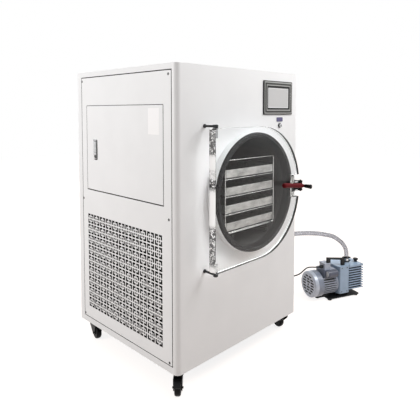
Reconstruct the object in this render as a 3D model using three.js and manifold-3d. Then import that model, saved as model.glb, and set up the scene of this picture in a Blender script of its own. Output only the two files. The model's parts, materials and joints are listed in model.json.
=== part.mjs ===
// Laboratory freeze dryer with its rotary vane vacuum pump. Millimetres, +Z up.
// X runs along the front from the left side, Y from the front towards the back, Z up from the floor.
import * as THREE from 'three';
import { mergeVertices } from 'three/addons/utils/BufferGeometryUtils.js';
import Module from 'manifold-3d';

const wasm = await Module();
wasm.setup();
const { Manifold } = wasm;

// Common
const FIT = 0.3; // gap between pieces that touch
const SHEET = 2; // casing sheet
const PANEL_T = 1.5; // loose panels and the access door
const LIP_BACK = 2 * SHEET; // back of the lips, from the casing's face
const PANEL_GAP = 3; // visible joint round a loose panel
const LIP_W = 12; // what a panel rests on, inside its opening
const LIP_BAND = 8; // how far a lip is welded to the sheet round its opening

// Chamber and the bays round it, which set the casing's size
const CHAMBER_R = 240; // inside
const CHAMBER_WALL = 5;
const CHAMBER_DEPTH = 560;
const CHAMBER_DISH = 40;
const CHAMBER_FLANGE = 14;
const LEFT_BAY = 175; // between the casing's left side and the drum
const RIGHT_BAY = 135;
const REAR_BAY = 110;
const MACHINE_BAY = 424; // below the drum
const DRUM_SIDES = 40; // facets of the drum and of what follows it
const CHAMBER_OUT = CHAMBER_R + CHAMBER_WALL;
const CHAMBER_X = LEFT_BAY + CHAMBER_OUT;
const CHAMBER_Z = MACHINE_BAY + CHAMBER_OUT;

// Door
const RING_R = CHAMBER_OUT + CHAMBER_FLANGE;
const RING_IN = CHAMBER_R - 2;
const RING_T = 42; // how far the rubber ring stands out of the front
const DOOR_OVER = 25; // how far the door reaches past the ring
const DOOR_R = RING_R + DOOR_OVER;
const DOOR_T = 36;
const DOOR_REACH = DOOR_R + 6; // from the drum's axis to the door's straight edge
const DOOR_CORNER_R = 10;
const NOTCH_H = 104;
const NOTCH_DEPTH = 46;
const DOOR_BACK = -RING_T - FIT;
const DOOR_FRONT = DOOR_BACK - DOOR_T;
const DOOR_LEFT = CHAMBER_X - DOOR_REACH;
const DOOR_RIGHT = CHAMBER_X + DOOR_R;

// Touch panel and what is below it
const HMI_W = 224;
const HMI_H = 156;
const HMI_ABOVE_DOOR = 50;
const HMI_FROM_RIGHT = 56;
const HMI_TO_TOP = 41;
const HMI_STEP = 9; // border of each bezel step
const HMI_PROUD = 8;
const SCREEN_W = 162;
const SCREEN_H = 93;
const SCREEN_T = 1;
const SCREEN_FROM_TOP = 32;
const SCREEN_DEPTH = 5; // screen recess in the bezel
const HMI_BODY = 38;
const HMI_Z = CHAMBER_Z + DOOR_R + HMI_ABOVE_DOOR;
const PORT_W = 47;
const PORT_H = 20;
const PORT_T = 2;
const PORT_BELOW = 13;
const SWITCH_R = 12;
const SWITCH_BELOW = 18;
const KNOB_R = 8;
const KNOB_L = 10;

// Casing
const CASE_W = CHAMBER_X + CHAMBER_OUT + RIGHT_BAY;
const CASE_D = CHAMBER_DEPTH + CHAMBER_DISH + CHAMBER_WALL + REAR_BAY;
const CASE_H = HMI_Z + HMI_H + HMI_TO_TOP;
const CORNER_R = 22;
const POST_FRONT = 26;
const POST_REAR = 32;
const RAIL_TOP = 23;
const RAIL_BOTTOM = 27;
const DECK_T = 4;
const RAIL = 30; // height and width of the base frame's rails
const HMI_X = CASE_W - HMI_FROM_RIGHT - HMI_W;
const SIDE_X = HMI_X + HMI_W / 2 + 16; // centre of the port cover and the switch

// Left side: access door and grille
const ACCESS_W = 558;
const ACCESS_H = 389;
const ACCESS_FROM_FRONT = 79;
const ACCESS_FROM_TOP = 157;
const ACCESS_GAP = 2.5;
const STIFFENER_INSET = 20;
const STIFFENER_D = 10;
const ACCESS_Z = CASE_H - ACCESS_FROM_TOP - ACCESS_H;
const GRILLE_PITCH = 50.5;
const GRILLE_HOLE = 30;
const GRILLE_FROM_FRONT = 85;
const GRILLE_Z = 82;
const GRILLE_ROWS = 9;
const GRILLE_MARGIN = 35;
const SLOTS = 12; // in the right side and the back
const SLOT_H = 8;
const SLOT_PITCH = 24;
const SLOT_L = 220;
const SLOT_FROM_REAR = 60; // from the side opening's back edge
const REAR_SLOT_INSET = 120;
const LOCK_W = 28;
const LOCK_H = 92;
const LOCK_T = 2.2;
const LOCK_FROM_EDGE = 71;
const LOCK_BODY_D = 14;
const LEVER_W = 15;
const LEVER_L = 50;
const BUTTON_R = 5;
const BUTTON_TRAVEL = 3;

// Shelves and trays
const RACK_W = 2 * (CHAMBER_R - 74);
const RACK_TOP = CHAMBER_R - 93; // above the drum's axis
const RACK_BOTTOM = CHAMBER_R - 75;
const RACK_FRONT = 0;
const RACK_DEPTH = CHAMBER_DEPTH - 95;
const RACK_BAR = 5;
const RACK_CORNER_R = 14;
const SHELF_T = 2;
const SHELVES = 4;
const TOP_SHELF = RACK_TOP - 76; // above the drum's axis
const LOW_SHELF = 12.5; // above the rack's bottom
const SHELF_PITCH = (TOP_SHELF + RACK_BOTTOM - LOW_SHELF) / (SHELVES - 1);
const TRAY_H = 34;
const TRAY_WALL = 1.5;
const TRAY_CLEAR = 1;
const SKID_X = 120;
const SKID_W = 12;

// Machine bay
const TRAP_R = 95;
const TRAP_L = 300;
const TRAP_X = 260;
const TRAP_Y = 300;
const TRAP_BELOW = 94; // between the drum and the trap
const TRAP_Z = MACHINE_BAY - TRAP_BELOW - TRAP_R;
const SADDLE_W = 30;
const SADDLE_INSET = 40;
const STUB_R = 25;
const OUTLET_R = 16;
const OUTLET_UP = 68;
const PORT_Z = TRAP_Z + OUTLET_UP;
const COMPRESSOR_R = 80;
const COMPRESSOR_H = 230;
const COMPRESSOR_FROM_RIGHT = 150;
const COMPRESSOR_FROM_BACK = 200;
const COMPRESSOR_FOOT = 14; // under the can
const CAN_BASE = 25;
const CAN_SHOULDER = 30;
const CAN_CROWN = 8;
const LEG_R = 16;
const COIL_X = 30;
const COIL_T = 50;
const COIL_W = 480;
const COIL_H = 370;
const COIL_Y = 130;
const FAN_R = 150;
const FAN_T = 22;
const FAN_GAP = 8;
const SHROUD_T = 3;
const FAN_MOTOR_R = 35;
const FAN_MOTOR_L = 55;
const CONTROL_X = 126;
const CONTROL_T = 3;
const CONTROL_INSET = 50; // inside the access door's sides
const GEAR_LOW = 60; // lowest row of switchgear above the access door's lower edge
const GEAR_PITCH = 110;
const GEAR_H = 75;
const GEAR_D = [70, 50, 62]; // depth of each row
const GEAR_INSET = 25;
const GEAR_W = 68; // one unit of a row

// Castors
const WHEEL_R = 31;
const WHEEL_W = 26;
const TRAIL = 32;
const CASTOR_INSET = 45;
const CASTOR_PLATE = 70;
const CASTOR_PLATE_T = 4;
const CUP_H = 8;
const FORK_TOP = 8; // thickness of the fork's turning head
const FORK_CLEAR = 8; // between the wheel and the head
const AXLE_R = 4;
const RUN = 0.3; // running clearance round pins and axles
const CASTOR_H = 2 * WHEEL_R + FORK_CLEAR + FORK_TOP + FIT + CUP_H + CASTOR_PLATE_T;

// Door hinges and latch
const HINGE_IN = 16; // pin from the door's straight edge
const HINGE_Y = DOOR_BACK - 19.7;
const HINGE_PIN_R = 5;
const HINGE_PIN_L = 38;
const EYE_R = 12;
const EYE_H = 13;
const EYE_GAP = 0.8;
const STUD_R = 7;
const HINGE_X = DOOR_LEFT + HINGE_IN;
const LATCH_H = 46;
const LATCH_X = DOOR_RIGHT - 4;
const LATCH_Y = DOOR_FRONT - 8;
const LATCH_EAR = 6;
const LATCH_PIN_R = 4;
const LATCH_HUB_R = 10;
const LATCH_BAY = LATCH_Y + LATCH_HUB_R + 1; // back of the room that the hub turns in
const GRIP_R = 11;
const GRIP_L = 152;
const GRIP_START = 9.5; // from the latch pin
const GRIP_OUT = 15; // in front of the latch pin
const GRIP_TILT = 7 * Math.PI / 180;
const KNOB_ROD_R = 7;
const KNOB_ROD_L = 35;

// Vacuum pump, in its own frame: x along its axis from the motor end, y across, z up
const PUMP_X = 1150;
const PUMP_Y = 144;
const PUMP_TURN = -22.5 * Math.PI / 180;
const PUMP_AXIS = 91;
const COVER_R = 76;
const COVER_L = 62;
const MOTOR_R = 62;
const MOTOR_END = 168;
const FIN_R = 72;
const FIN_T = 3;
const FIN_PITCH = 11;
const BLOCK_END = 246;
const BLOCK_HALF = 65;
const BLOCK_TOP = 192;
const BLOCK_BOTTOM = 27;
const OIL_END = 350;
const OIL_TOP = 190;
const OIL_BOTTOM = 46;
const OIL_FINS = 9;
const OIL_FIN_OUT = 8;
const BASE_Z = 8;
const BASE_T = 6;
const FOOT_R = 12;
const BASE_HALF = 70;
const BASE_FROM_COVER = 36;
const BASE_FROM_END = 28;
const FOOT_IN = 16; // feet in from the base plate's edges
const INLET_R = 15;
const INLET_H = 30;
const CAPACITOR_R = 22;
const HANDLE_W = 16;
const HANDLE_Y = -42;
const HANDLE_POST = 22;
const HANDLE_RISE = 32; // inside the handle, above the terminal box
const HOSE_R = 13;
const LEAD_R = 3.5;
const GLAND_R = 9;

// --- Geometry helpers ---

function signedVolume(points, faces) {
  let volume = 0;
  const [a, b, c] = [new THREE.Vector3(), new THREE.Vector3(), new THREE.Vector3()];
  for (let i = 0; i < faces.length; i += 3) {
    a.fromArray(points, 3 * faces[i]);
    b.fromArray(points, 3 * faces[i + 1]);
    c.fromArray(points, 3 * faces[i + 2]);
    volume += a.dot(b.cross(c));
  }
  return volume;
}

function toSolid(geometry) {
  const bare = geometry.clone();
  bare.deleteAttribute('normal');
  bare.deleteAttribute('uv');
  const merged = mergeVertices(bare, 1e-4);
  const points = Float32Array.from(merged.attributes.position.array);
  const faces = [];
  for (let i = 0; i < merged.index.count; i += 3) {
    const [a, b, c] = [0, 1, 2].map((k) => merged.index.getX(i + k));
    if (a !== b && b !== c && c !== a) faces.push(a, b, c);
  }
  if (signedVolume(points, faces) < 0) faces.reverse();
  return new Manifold(new wasm.Mesh({ numProp: 3, vertProperties: points, triVerts: Uint32Array.from(faces) }));
}

function toGeometry(solid) {
  const mesh = solid.getMesh();
  const geometry = new THREE.BufferGeometry();
  geometry.setAttribute('position', new THREE.BufferAttribute(Float32Array.from(mesh.vertProperties), 3));
  geometry.setIndex(new THREE.BufferAttribute(Uint32Array.from(mesh.triVerts), 1));
  return geometry;
}

function box(x0, x1, y0, y1, z0, z1) {
  const geometry = new THREE.BoxGeometry(x1 - x0, y1 - y0, z1 - z0);
  geometry.translate((x0 + x1) / 2, (y0 + y1) / 2, (z0 + z1) / 2);
  return toSolid(geometry);
}

// A cylinder along an axis from a to b; at is its centre in the other two axes, in x, y, z order.
function rod(axis, radius, a, b, at, segments = 16, endRadius = radius) {
  const geometry = new THREE.CylinderGeometry(endRadius, radius, b - a, segments);
  geometry.translate(0, (a + b) / 2, 0);
  if (axis === 'x') geometry.rotateZ(-Math.PI / 2);
  if (axis === 'z') geometry.rotateX(Math.PI / 2);
  if (axis === 'x') geometry.translate(0, at[0], at[1]);
  if (axis === 'y') geometry.translate(at[0], 0, at[1]);
  if (axis === 'z') geometry.translate(at[0], at[1], 0);
  return toSolid(geometry);
}

// A turned piece: profile points are [radius, distance along the axis].
function turned(axis, profile, at, segments = 24) {
  const geometry = new THREE.LatheGeometry(profile.map(([r, d]) => new THREE.Vector2(r, d)), segments);
  if (axis === 'x') geometry.rotateZ(-Math.PI / 2);
  if (axis === 'z') geometry.rotateX(Math.PI / 2);
  if (axis === 'x') geometry.translate(0, at[0], at[1]);
  if (axis === 'y') geometry.translate(at[0], 0, at[1]);
  if (axis === 'z') geometry.translate(at[0], at[1], 0);
  return toSolid(geometry);
}

function outline(points) {
  return new THREE.Shape(points.map(([x, y]) => new THREE.Vector2(x, y)));
}

// Points of an arc round (x, y), from one angle to another in quarter turns.
function arc(x, y, r, from, to, steps) {
  return [...Array(steps + 1).keys()].map((i) => {
    const a = (from + (to - from) * i / steps) * Math.PI / 2;
    return [x + r * Math.cos(a), y + r * Math.sin(a)];
  });
}

function roundedRect(x0, y0, x1, y1, r, steps = 2) {
  return outline([
    ...arc(x1 - r, y0 + r, r, -1, 0, steps), ...arc(x1 - r, y1 - r, r, 0, 1, steps),
    ...arc(x0 + r, y1 - r, r, 1, 2, steps), ...arc(x0 + r, y0 + r, r, 2, 3, steps),
  ]);
}

function extruded(shape, depth) {
  return new THREE.ExtrudeGeometry(shape, { depth, bevelEnabled: false });
}

// A plate seen from the front: the shape is in X and Z, and fills yFront to yBack.
function frontPlate(shape, yFront, yBack) {
  const geometry = extruded(shape, yBack - yFront);
  geometry.rotateX(Math.PI / 2);
  geometry.translate(0, yBack, 0);
  return toSolid(geometry);
}

// A plate seen from the side: the shape is in Y and Z, and fills x0 to x1.
function sidePlate(shape, x0, x1) {
  const geometry = extruded(shape, x1 - x0);
  const [x, y, z] = [new THREE.Vector3(0, 1, 0), new THREE.Vector3(0, 0, 1), new THREE.Vector3(1, 0, 0)];
  geometry.applyMatrix4(new THREE.Matrix4().makeBasis(x, y, z));
  geometry.translate(x0, 0, 0);
  return toSolid(geometry);
}

// A plate seen from above: the shape is in X and Y, and fills z0 to z1.
function flatPlate(shape, z0, z1) {
  const geometry = extruded(shape, z1 - z0);
  geometry.translate(0, 0, z0);
  return toSolid(geometry);
}

function joined(solids) {
  return solids.reduce((sum, solid) => sum.add(solid));
}

function without(solid, cuts) {
  return cuts.reduce((rest, cut) => rest.subtract(cut), solid);
}

function tube(points, radius, sides, steps) {
  const path = new THREE.CatmullRomCurve3(points.map((p) => new THREE.Vector3(...p)), false, 'centripetal');
  const ring = [...Array(sides).keys()].map((i) => 2 * Math.PI * i / sides);
  const section = outline(ring.map((a) => [radius * Math.cos(a), radius * Math.sin(a)]));
  return toSolid(new THREE.ExtrudeGeometry(section, { extrudePath: path, steps, bevelEnabled: false }));
}

// --- Cabinet: local frame with Z from the casing's bottom ---

function casingBody() {
  const outer = footprint(0, CORNER_R);
  const inner = footprint(SHEET, CORNER_R - SHEET);
  return flatPlate(outer, 0, CASE_H).subtract(flatPlate(inner, -1, CASE_H - SHEET));
}

// The casing seen from above: round front corners and square rear ones.
function footprint(inset, r) {
  const [x0, x1, y0, y1] = [inset, CASE_W - inset, inset, CASE_D - inset];
  return outline([...arc(x1 - r, y0 + r, r, -1, 0, 5), [x1, y1], [x0, y1], ...arc(x0 + r, y0 + r, r, 2, 3, 5)]);
}

const SIDE_OPENING = {
  y0: POST_FRONT, y1: CASE_D - POST_REAR, z0: RAIL_BOTTOM, z1: CASE_H - RAIL_TOP,
};
const REAR_OPENING = {
  x0: POST_REAR, x1: CASE_W - POST_REAR, z0: RAIL_BOTTOM, z1: CASE_H - RAIL_TOP,
};

function grown(o, by) {
  return { y0: o.y0 - by, y1: o.y1 + by, z0: o.z0 - by, z1: o.z1 + by };
}

function sideBox(o, x0, x1) {
  return box(x0, x1, o.y0, o.y1, o.z0, o.z1);
}

function rearBox(by, y0, y1) {
  const o = REAR_OPENING;
  return box(o.x0 - by, o.x1 + by, y0, y1, o.z0 - by, o.z1 + by);
}

function casingShell() {
  const band = grown(SIDE_OPENING, LIP_BAND);
  const rest = grown(SIDE_OPENING, -LIP_W);
  const shell = joined([
    casingBody(),
    sideBox(band, SHEET / 2, LIP_BACK),
    sideBox(band, CASE_W - LIP_BACK, CASE_W - SHEET / 2),
    rearBox(LIP_BAND, CASE_D - LIP_BACK, CASE_D - SHEET / 2),
  ]);
  return without(shell, [
    sideBox(SIDE_OPENING, -1, SHEET),
    sideBox(SIDE_OPENING, CASE_W - SHEET, CASE_W + 1),
    sideBox(rest, -1, LIP_BACK + 1),
    sideBox(rest, CASE_W - LIP_BACK - 1, CASE_W + 1),
    rearBox(0, CASE_D - SHEET, CASE_D + 1),
    rearBox(-LIP_W, CASE_D - LIP_BACK - 1, CASE_D + 1),
    rod('y', CHAMBER_OUT + 2, -1, SHEET + 1, [CHAMBER_X, CHAMBER_Z], DRUM_SIDES),
    box(HMI_X + HMI_STEP - 1, HMI_X + HMI_W - HMI_STEP + 1, -1, SHEET + 1,
      HMI_Z + HMI_STEP - 1, HMI_Z + HMI_H - HMI_STEP + 1),
    rod('y', SWITCH_R - 1.5, -1, SHEET + 1, [SIDE_X, SWITCH_Z], 24),
  ]);
}

const SWITCH_Z = HMI_Z - PORT_BELOW - PORT_H - SWITCH_BELOW;

// Rails under a deck sheet, with a castor plate and bearing cup under each corner.
function baseFrame() {
  const inset = LIP_BACK + FIT;
  const [x0, x1, y0, y1] = [inset, CASE_W - inset, inset, CASE_D - inset];
  const shape = footprint(inset, CORNER_R - inset);
  const deck = flatPlate(shape, 0, RAIL);
  const bay = (CASE_D - 2 * RAIL) / 3;
  const pockets = [0, 1, 2].map((i) => {
    const start = y0 + RAIL + i * bay + (i ? RAIL / 2 : 0);
    const end = i === 2 ? y1 - RAIL : y0 + RAIL + (i + 1) * bay - RAIL / 2;
    return box(x0 + RAIL, x1 - RAIL, start, end, -1, RAIL - DECK_T);
  });
  const plates = CASTOR_PLACES.flatMap(([x, y]) => {
    const half = CASTOR_PLATE / 2;
    const plate = flatPlate(roundedRect(x - half, y - half, x + half, y + half, 8), -CASTOR_PLATE_T, RAIL - 1);
    return [plate, rod('z', 22, -CASTOR_PLATE_T - CUP_H, 0, [x, y])];
  });
  return joined([without(deck, pockets), ...plates]);
}

const CASTOR_PLACES = [
  [CASTOR_INSET, CASTOR_INSET],
  [CASE_W - CASTOR_INSET, CASTOR_INSET],
  [CASTOR_INSET, CASE_D - CASTOR_INSET],
  [CASE_W - CASTOR_INSET, CASE_D - CASTOR_INSET],
];
const PANEL_OUT = SHEET - FIT - PANEL_T; // outer face of a loose panel behind the casing's face
const PANEL_IN = SHEET - FIT;
const PANEL_EDGE = grown(SIDE_OPENING, -PANEL_GAP);
const ACCESS = {
  y0: ACCESS_FROM_FRONT, y1: ACCESS_FROM_FRONT + ACCESS_W, z0: ACCESS_Z, z1: ACCESS_Z + ACCESS_H,
};

function leftSidePanel() {
  const opening = grown(ACCESS, ACCESS_GAP);
  const lipBack = PANEL_IN + FIT + 1.5;
  const panel = sideBox(PANEL_EDGE, PANEL_OUT, PANEL_IN);
  const lip = sideBox(grown(opening, LIP_BAND), PANEL_IN - 0.5, lipBack);
  const columns = Math.floor((PANEL_EDGE.y1 - GRILLE_MARGIN - GRILLE_FROM_FRONT) / GRILLE_PITCH);
  return without(panel.add(lip), [
    sideBox(opening, PANEL_OUT - 1, PANEL_IN + FIT),
    sideBox(grown(opening, -LIP_W), PANEL_OUT - 1, lipBack + 1),
    ...grilleHoles(columns),
  ]);
}

function grilleHoles(columns) {
  const holes = [];
  const half = GRILLE_HOLE / 2;
  for (let row = 0; row < GRILLE_ROWS; row += 1) {
    for (let column = 0; column < columns; column += 1) {
      const y = GRILLE_FROM_FRONT + (column + 0.5) * GRILLE_PITCH;
      const z = GRILLE_Z + (row + 0.5) * GRILLE_PITCH;
      holes.push(box(PANEL_OUT - 1, PANEL_IN + 1, y - half, y + half, z - half, z + half));
    }
  }
  return holes;
}

function rightSidePanel() {
  const [x0, x1] = [CASE_W - PANEL_IN, CASE_W - PANEL_OUT];
  const end = SIDE_OPENING.y1 - SLOT_FROM_REAR;
  const slots = [...Array(SLOTS).keys()].map((i) => {
    const z = GRILLE_Z + SLOT_PITCH * i;
    return box(x0 - 1, x1 + 1, end - SLOT_L, end, z, z + SLOT_H);
  });
  return without(sideBox(PANEL_EDGE, x0, x1), [
    ...slots,
    rod('x', OUTLET_R + 1, x0 - 1, x1 + 1, [TRAP_Y, PORT_Z]),
  ]);
}

function rearPanel() {
  const [y0, y1] = [CASE_D - PANEL_IN, CASE_D - PANEL_OUT];
  const o = REAR_OPENING;
  const panel = box(o.x0 + PANEL_GAP, o.x1 - PANEL_GAP, y0, y1, o.z0 + PANEL_GAP, o.z1 - PANEL_GAP);
  const slots = [...Array(SLOTS).keys()].map((i) => {
    const z = GRILLE_Z + SLOT_PITCH * i;
    return box(o.x0 + REAR_SLOT_INSET, o.x1 - REAR_SLOT_INSET, y0 - 1, y1 + 1, z, z + SLOT_H);
  });
  return without(panel, slots);
}

const LOCK_Y = ACCESS.y1 - LOCK_FROM_EDGE;
const LOCK_Z = (ACCESS.z0 + ACCESS.z1) / 2 - 4;
const LEVER_TOP = LOCK_Z + LOCK_H / 2 - 10;
const BUTTON_Z = LOCK_Z - LOCK_H / 2 + 13;
const LOCK_BODY_W = LEVER_W + 6;

function accessDoor() {
  const inset = grown(ACCESS, -STIFFENER_INSET);
  const back = PANEL_IN + STIFFENER_D;
  const rim = sideBox(inset, PANEL_IN - 0.5, back).subtract(sideBox(grown(inset, -PANEL_T), PANEL_OUT, back + 1));
  const half = LOCK_BODY_W / 2 + FIT;
  const cutout = box(PANEL_OUT - 1, PANEL_IN + 1, LOCK_Y - half, LOCK_Y + half,
    LOCK_Z - LOCK_H / 2 + 5, LOCK_Z + LOCK_H / 2 - 5);
  return sideBox(ACCESS, PANEL_OUT, PANEL_IN).add(rim).subtract(cutout);
}

// Flush lock: a front plate, and a body through the door with the lever's pocket and the button's bore.
function lockPlate() {
  const face = PANEL_OUT - FIT;
  const [h, w] = [LOCK_H / 2, LOCK_W / 2];
  const plate = sidePlate(roundedRect(LOCK_Y - w, LOCK_Z - h, LOCK_Y + w, LOCK_Z + h, 4), face - LOCK_T, face);
  const body = box(face - 1, LOCK_BODY_D, LOCK_Y - LOCK_BODY_W / 2, LOCK_Y + LOCK_BODY_W / 2,
    LOCK_Z - h + 5 + FIT, LOCK_Z + h - 5 - FIT);
  const side = LEVER_W / 2 + 0.5;
  return without(plate.add(body), [
    box(face - LOCK_T - 1, LOCK_BODY_D - 4, LOCK_Y - side, LOCK_Y + side, LEVER_TOP - LEVER_L - 1, LEVER_TOP + 1.5),
    rod('x', BUTTON_R + 0.5, face - LOCK_T - 1, LOCK_BODY_D - 4, [LOCK_Y, BUTTON_Z], 16),
  ]);
}

function lockLever() {
  const half = LEVER_W / 2;
  const shape = roundedRect(LOCK_Y - half, LEVER_TOP - LEVER_L, LOCK_Y + half, LEVER_TOP, 2, 1);
  return sidePlate(shape, PANEL_OUT - FIT - LOCK_T, PANEL_OUT - FIT - LOCK_T + 4);
}

function lockButton() {
  const face = PANEL_OUT - FIT - LOCK_T;
  return rod('x', BUTTON_R, face - BUTTON_TRAVEL - 0.4, face + 4, [LOCK_Y, BUTTON_Z], 16);
}

// --- Chamber ---

function chamber() {
  const back = CHAMBER_DEPTH + CHAMBER_DISH;
  const wall = CHAMBER_WALL;
  const lip = SHEET + FIT;
  const drum = turned('y', [
    [0, back], [CHAMBER_R * 0.5, back - CHAMBER_DISH * 0.3], [CHAMBER_R, CHAMBER_DEPTH],
    [CHAMBER_R, 0], [CHAMBER_OUT, 0], [CHAMBER_OUT, lip], [CHAMBER_OUT + CHAMBER_FLANGE, lip],
    [CHAMBER_OUT + CHAMBER_FLANGE, lip + 6], [CHAMBER_OUT, lip + 6], [CHAMBER_OUT, CHAMBER_DEPTH + 1],
    [CHAMBER_OUT * 0.5, back + wall - CHAMBER_DISH * 0.3], [0, back + wall],
  ], [CHAMBER_X, CHAMBER_Z], DRUM_SIDES);
  const low = TRAP_Z + TRAP_R + FIT;
  const stub = rod('z', STUB_R, low, CHAMBER_Z, [CHAMBER_X, TRAP_Y]);
  const bore = rod('z', STUB_R - 3, low - 1, CHAMBER_Z, [CHAMBER_X, TRAP_Y]);
  const clear = rod('y', CHAMBER_R, 1, CHAMBER_DEPTH - 1, [CHAMBER_X, CHAMBER_Z], DRUM_SIDES);
  return without(drum.add(stub.subtract(clear)), [bore, trapShell(FIT)]);
}

function trapShell(extra) {
  return rod('x', TRAP_R + extra, TRAP_X - extra, TRAP_X + TRAP_L + extra, [TRAP_Y, TRAP_Z], 28);
}

function chamberGasket() {
  const [a, b] = [-RING_T, -FIT];
  const mid = (RING_R + RING_IN) / 2;
  return turned('y', [
    [RING_IN, b], [RING_IN, a + 3], [RING_IN + 3, a], [mid + 4, a], [RING_R - 3, a + 4],
    [RING_R, a + 11], [RING_R, b], [RING_IN, b],
  ], [CHAMBER_X, CHAMBER_Z], DRUM_SIDES);
}

const SHELF_X = [CHAMBER_X - RACK_W / 2, CHAMBER_X + RACK_W / 2];

function shelfHeight(i) {
  return CHAMBER_Z + TOP_SHELF - i * SHELF_PITCH;
}

// Two bar frames joined by four shelf plates, on two skids that follow the drum.
function shelfRack() {
  const [x0, x1] = SHELF_X;
  const [z0, z1] = [CHAMBER_Z - RACK_BOTTOM, CHAMBER_Z + RACK_TOP];
  const loop = (y) => frontPlate(roundedRect(x0, z0, x1, z1, RACK_CORNER_R), y, y + RACK_BAR)
    .subtract(frontPlate(roundedRect(x0 + RACK_BAR, z0 + RACK_BAR, x1 - RACK_BAR, z1 - RACK_BAR,
      RACK_CORNER_R - RACK_BAR), y - 1, y + RACK_BAR + 1));
  const end = RACK_FRONT + RACK_DEPTH;
  const shelves = [...Array(SHELVES).keys()].map((i) => (
    box(x0 + 1, x1 - 1, RACK_FRONT + 1, end - 1, shelfHeight(i) - SHELF_T, shelfHeight(i))
  ));
  const drum = rod('y', CHAMBER_R - FIT, RACK_FRONT, end, [CHAMBER_X, CHAMBER_Z], DRUM_SIDES);
  const skids = [-SKID_X, SKID_X].map((x) => (
    box(CHAMBER_X + x - SKID_W / 2, CHAMBER_X + x + SKID_W / 2, RACK_FRONT, end, CHAMBER_Z - CHAMBER_R, z0 + 1)
      .intersect(drum)
  ));
  return joined([loop(RACK_FRONT), loop(end - RACK_BAR), ...shelves, ...skids]);
}

function tray(i) {
  const [x0, x1] = [SHELF_X[0] + RACK_BAR + TRAY_CLEAR, SHELF_X[1] - RACK_BAR - TRAY_CLEAR];
  const [y0, y1] = [RACK_FRONT, RACK_FRONT + RACK_DEPTH - RACK_BAR - 2 * TRAY_CLEAR];
  const z0 = shelfHeight(i) + FIT;
  const wall = TRAY_WALL;
  return flatPlate(roundedRect(x0, y0, x1, y1, 6), z0, z0 + TRAY_H)
    .subtract(flatPlate(roundedRect(x0 + wall, y0 + wall, x1 - wall, y1 - wall, 5), z0 + wall, z0 + TRAY_H + 1));
}

// --- Machine bay ---

function coldTrap() {
  const deck = RAIL + FIT;
  const saddle = (x) => box(x, x + SADDLE_W, TRAP_Y - TRAP_R * 0.8, TRAP_Y + TRAP_R * 0.8, deck, TRAP_Z);
  const end = CASE_W - PANEL_OUT;
  const outlet = rod('x', OUTLET_R, TRAP_X + TRAP_L - 1, end, [TRAP_Y, PORT_Z]);
  return joined([trapShell(0), saddle(TRAP_X + SADDLE_INSET), saddle(TRAP_X + TRAP_L - SADDLE_INSET - SADDLE_W), outlet]);
}

const COMPRESSOR_AT = [CASE_W - COMPRESSOR_FROM_RIGHT, CASE_D - COMPRESSOR_FROM_BACK];

function compressor() {
  const [x, y] = COMPRESSOR_AT;
  const [r, deck] = [COMPRESSOR_R, RAIL + FIT];
  const [z0, z1] = [deck + COMPRESSOR_FOOT, deck + COMPRESSOR_H];
  const can = turned('z', [
    [0, z0], [r * 0.7, z0], [r, z0 + CAN_BASE], [r, z1 - CAN_SHOULDER], [r * 0.75, z1 - CAN_CROWN], [0, z1],
  ].reverse().map(([a, b]) => [a, -b]), [x, y], 28);
  const legs = [45, 135, 225, 315].map((turn) => {
    const a = turn * Math.PI / 180;
    return rod('z', LEG_R, deck, z0 + CAN_BASE - 5, [x + 0.8 * r * Math.cos(a), y + 0.8 * r * Math.sin(a)], 8);
  });
  return joined([can.mirror([0, 0, 1]), ...legs]);
}

const DECK_TOP = RAIL + FIT;
const COIL_Z = DECK_TOP + 18;
const FAN_Y = COIL_Y + COIL_W / 2;
const FAN_Z = COIL_Z + COIL_H / 2;
const SHROUD_X = COIL_X + COIL_T + FIT;
const FAN_X = SHROUD_X + SHROUD_T + FAN_GAP;

// Finned coil between two side channels that stand on the deck.
function condenser() {
  const [x1, y1, z1] = [COIL_X + COIL_T, COIL_Y + COIL_W, COIL_Z + COIL_H];
  const core = box(COIL_X + 4, x1, COIL_Y + 1, y1 - 1, COIL_Z, z1 - 1);
  const fins = [...Array(16).keys()].map((i) => {
    const y = COIL_Y + 12 + i * (COIL_W - 24) / 16;
    return box(COIL_X, COIL_X + 5, y, y + 8, COIL_Z + 4, z1 - 5);
  });
  return joined([
    core, ...fins,
    box(COIL_X, x1, COIL_Y, COIL_Y + 3, DECK_TOP, z1),
    box(COIL_X, x1, y1 - 3, y1, DECK_TOP, z1),
  ]);
}

// Sheet behind the coil with the fan's ring, and four arms that carry the fan motor.
function fanShroud() {
  const [x0, x1] = [SHROUD_X, SHROUD_X + SHROUD_T];
  const sheet = box(x0, x1, COIL_Y, COIL_Y + COIL_W, DECK_TOP, COIL_Z + COIL_H);
  const reach = FAN_X + FAN_T + FAN_GAP;
  const ring = rod('x', FAN_R + 10, x1 - 1, reach + 4, [FAN_Y, FAN_Z], 20);
  const bore = rod('x', FAN_R + 7, x0 - 1, reach + 5, [FAN_Y, FAN_Z], 20);
  const arm = box(reach, reach + 4, FAN_Y - FAN_R - 8, FAN_Y + FAN_R + 8, FAN_Z - 8, FAN_Z + 8);
  const brace = box(reach, reach + 4, FAN_Y - 8, FAN_Y + 8, FAN_Z - FAN_R - 8, FAN_Z + FAN_R + 8);
  const motor = rod('x', FAN_MOTOR_R, reach, reach + FAN_MOTOR_L, [FAN_Y, FAN_Z]);
  return joined([sheet.add(ring).subtract(bore), arm, brace, motor]);
}

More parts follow.
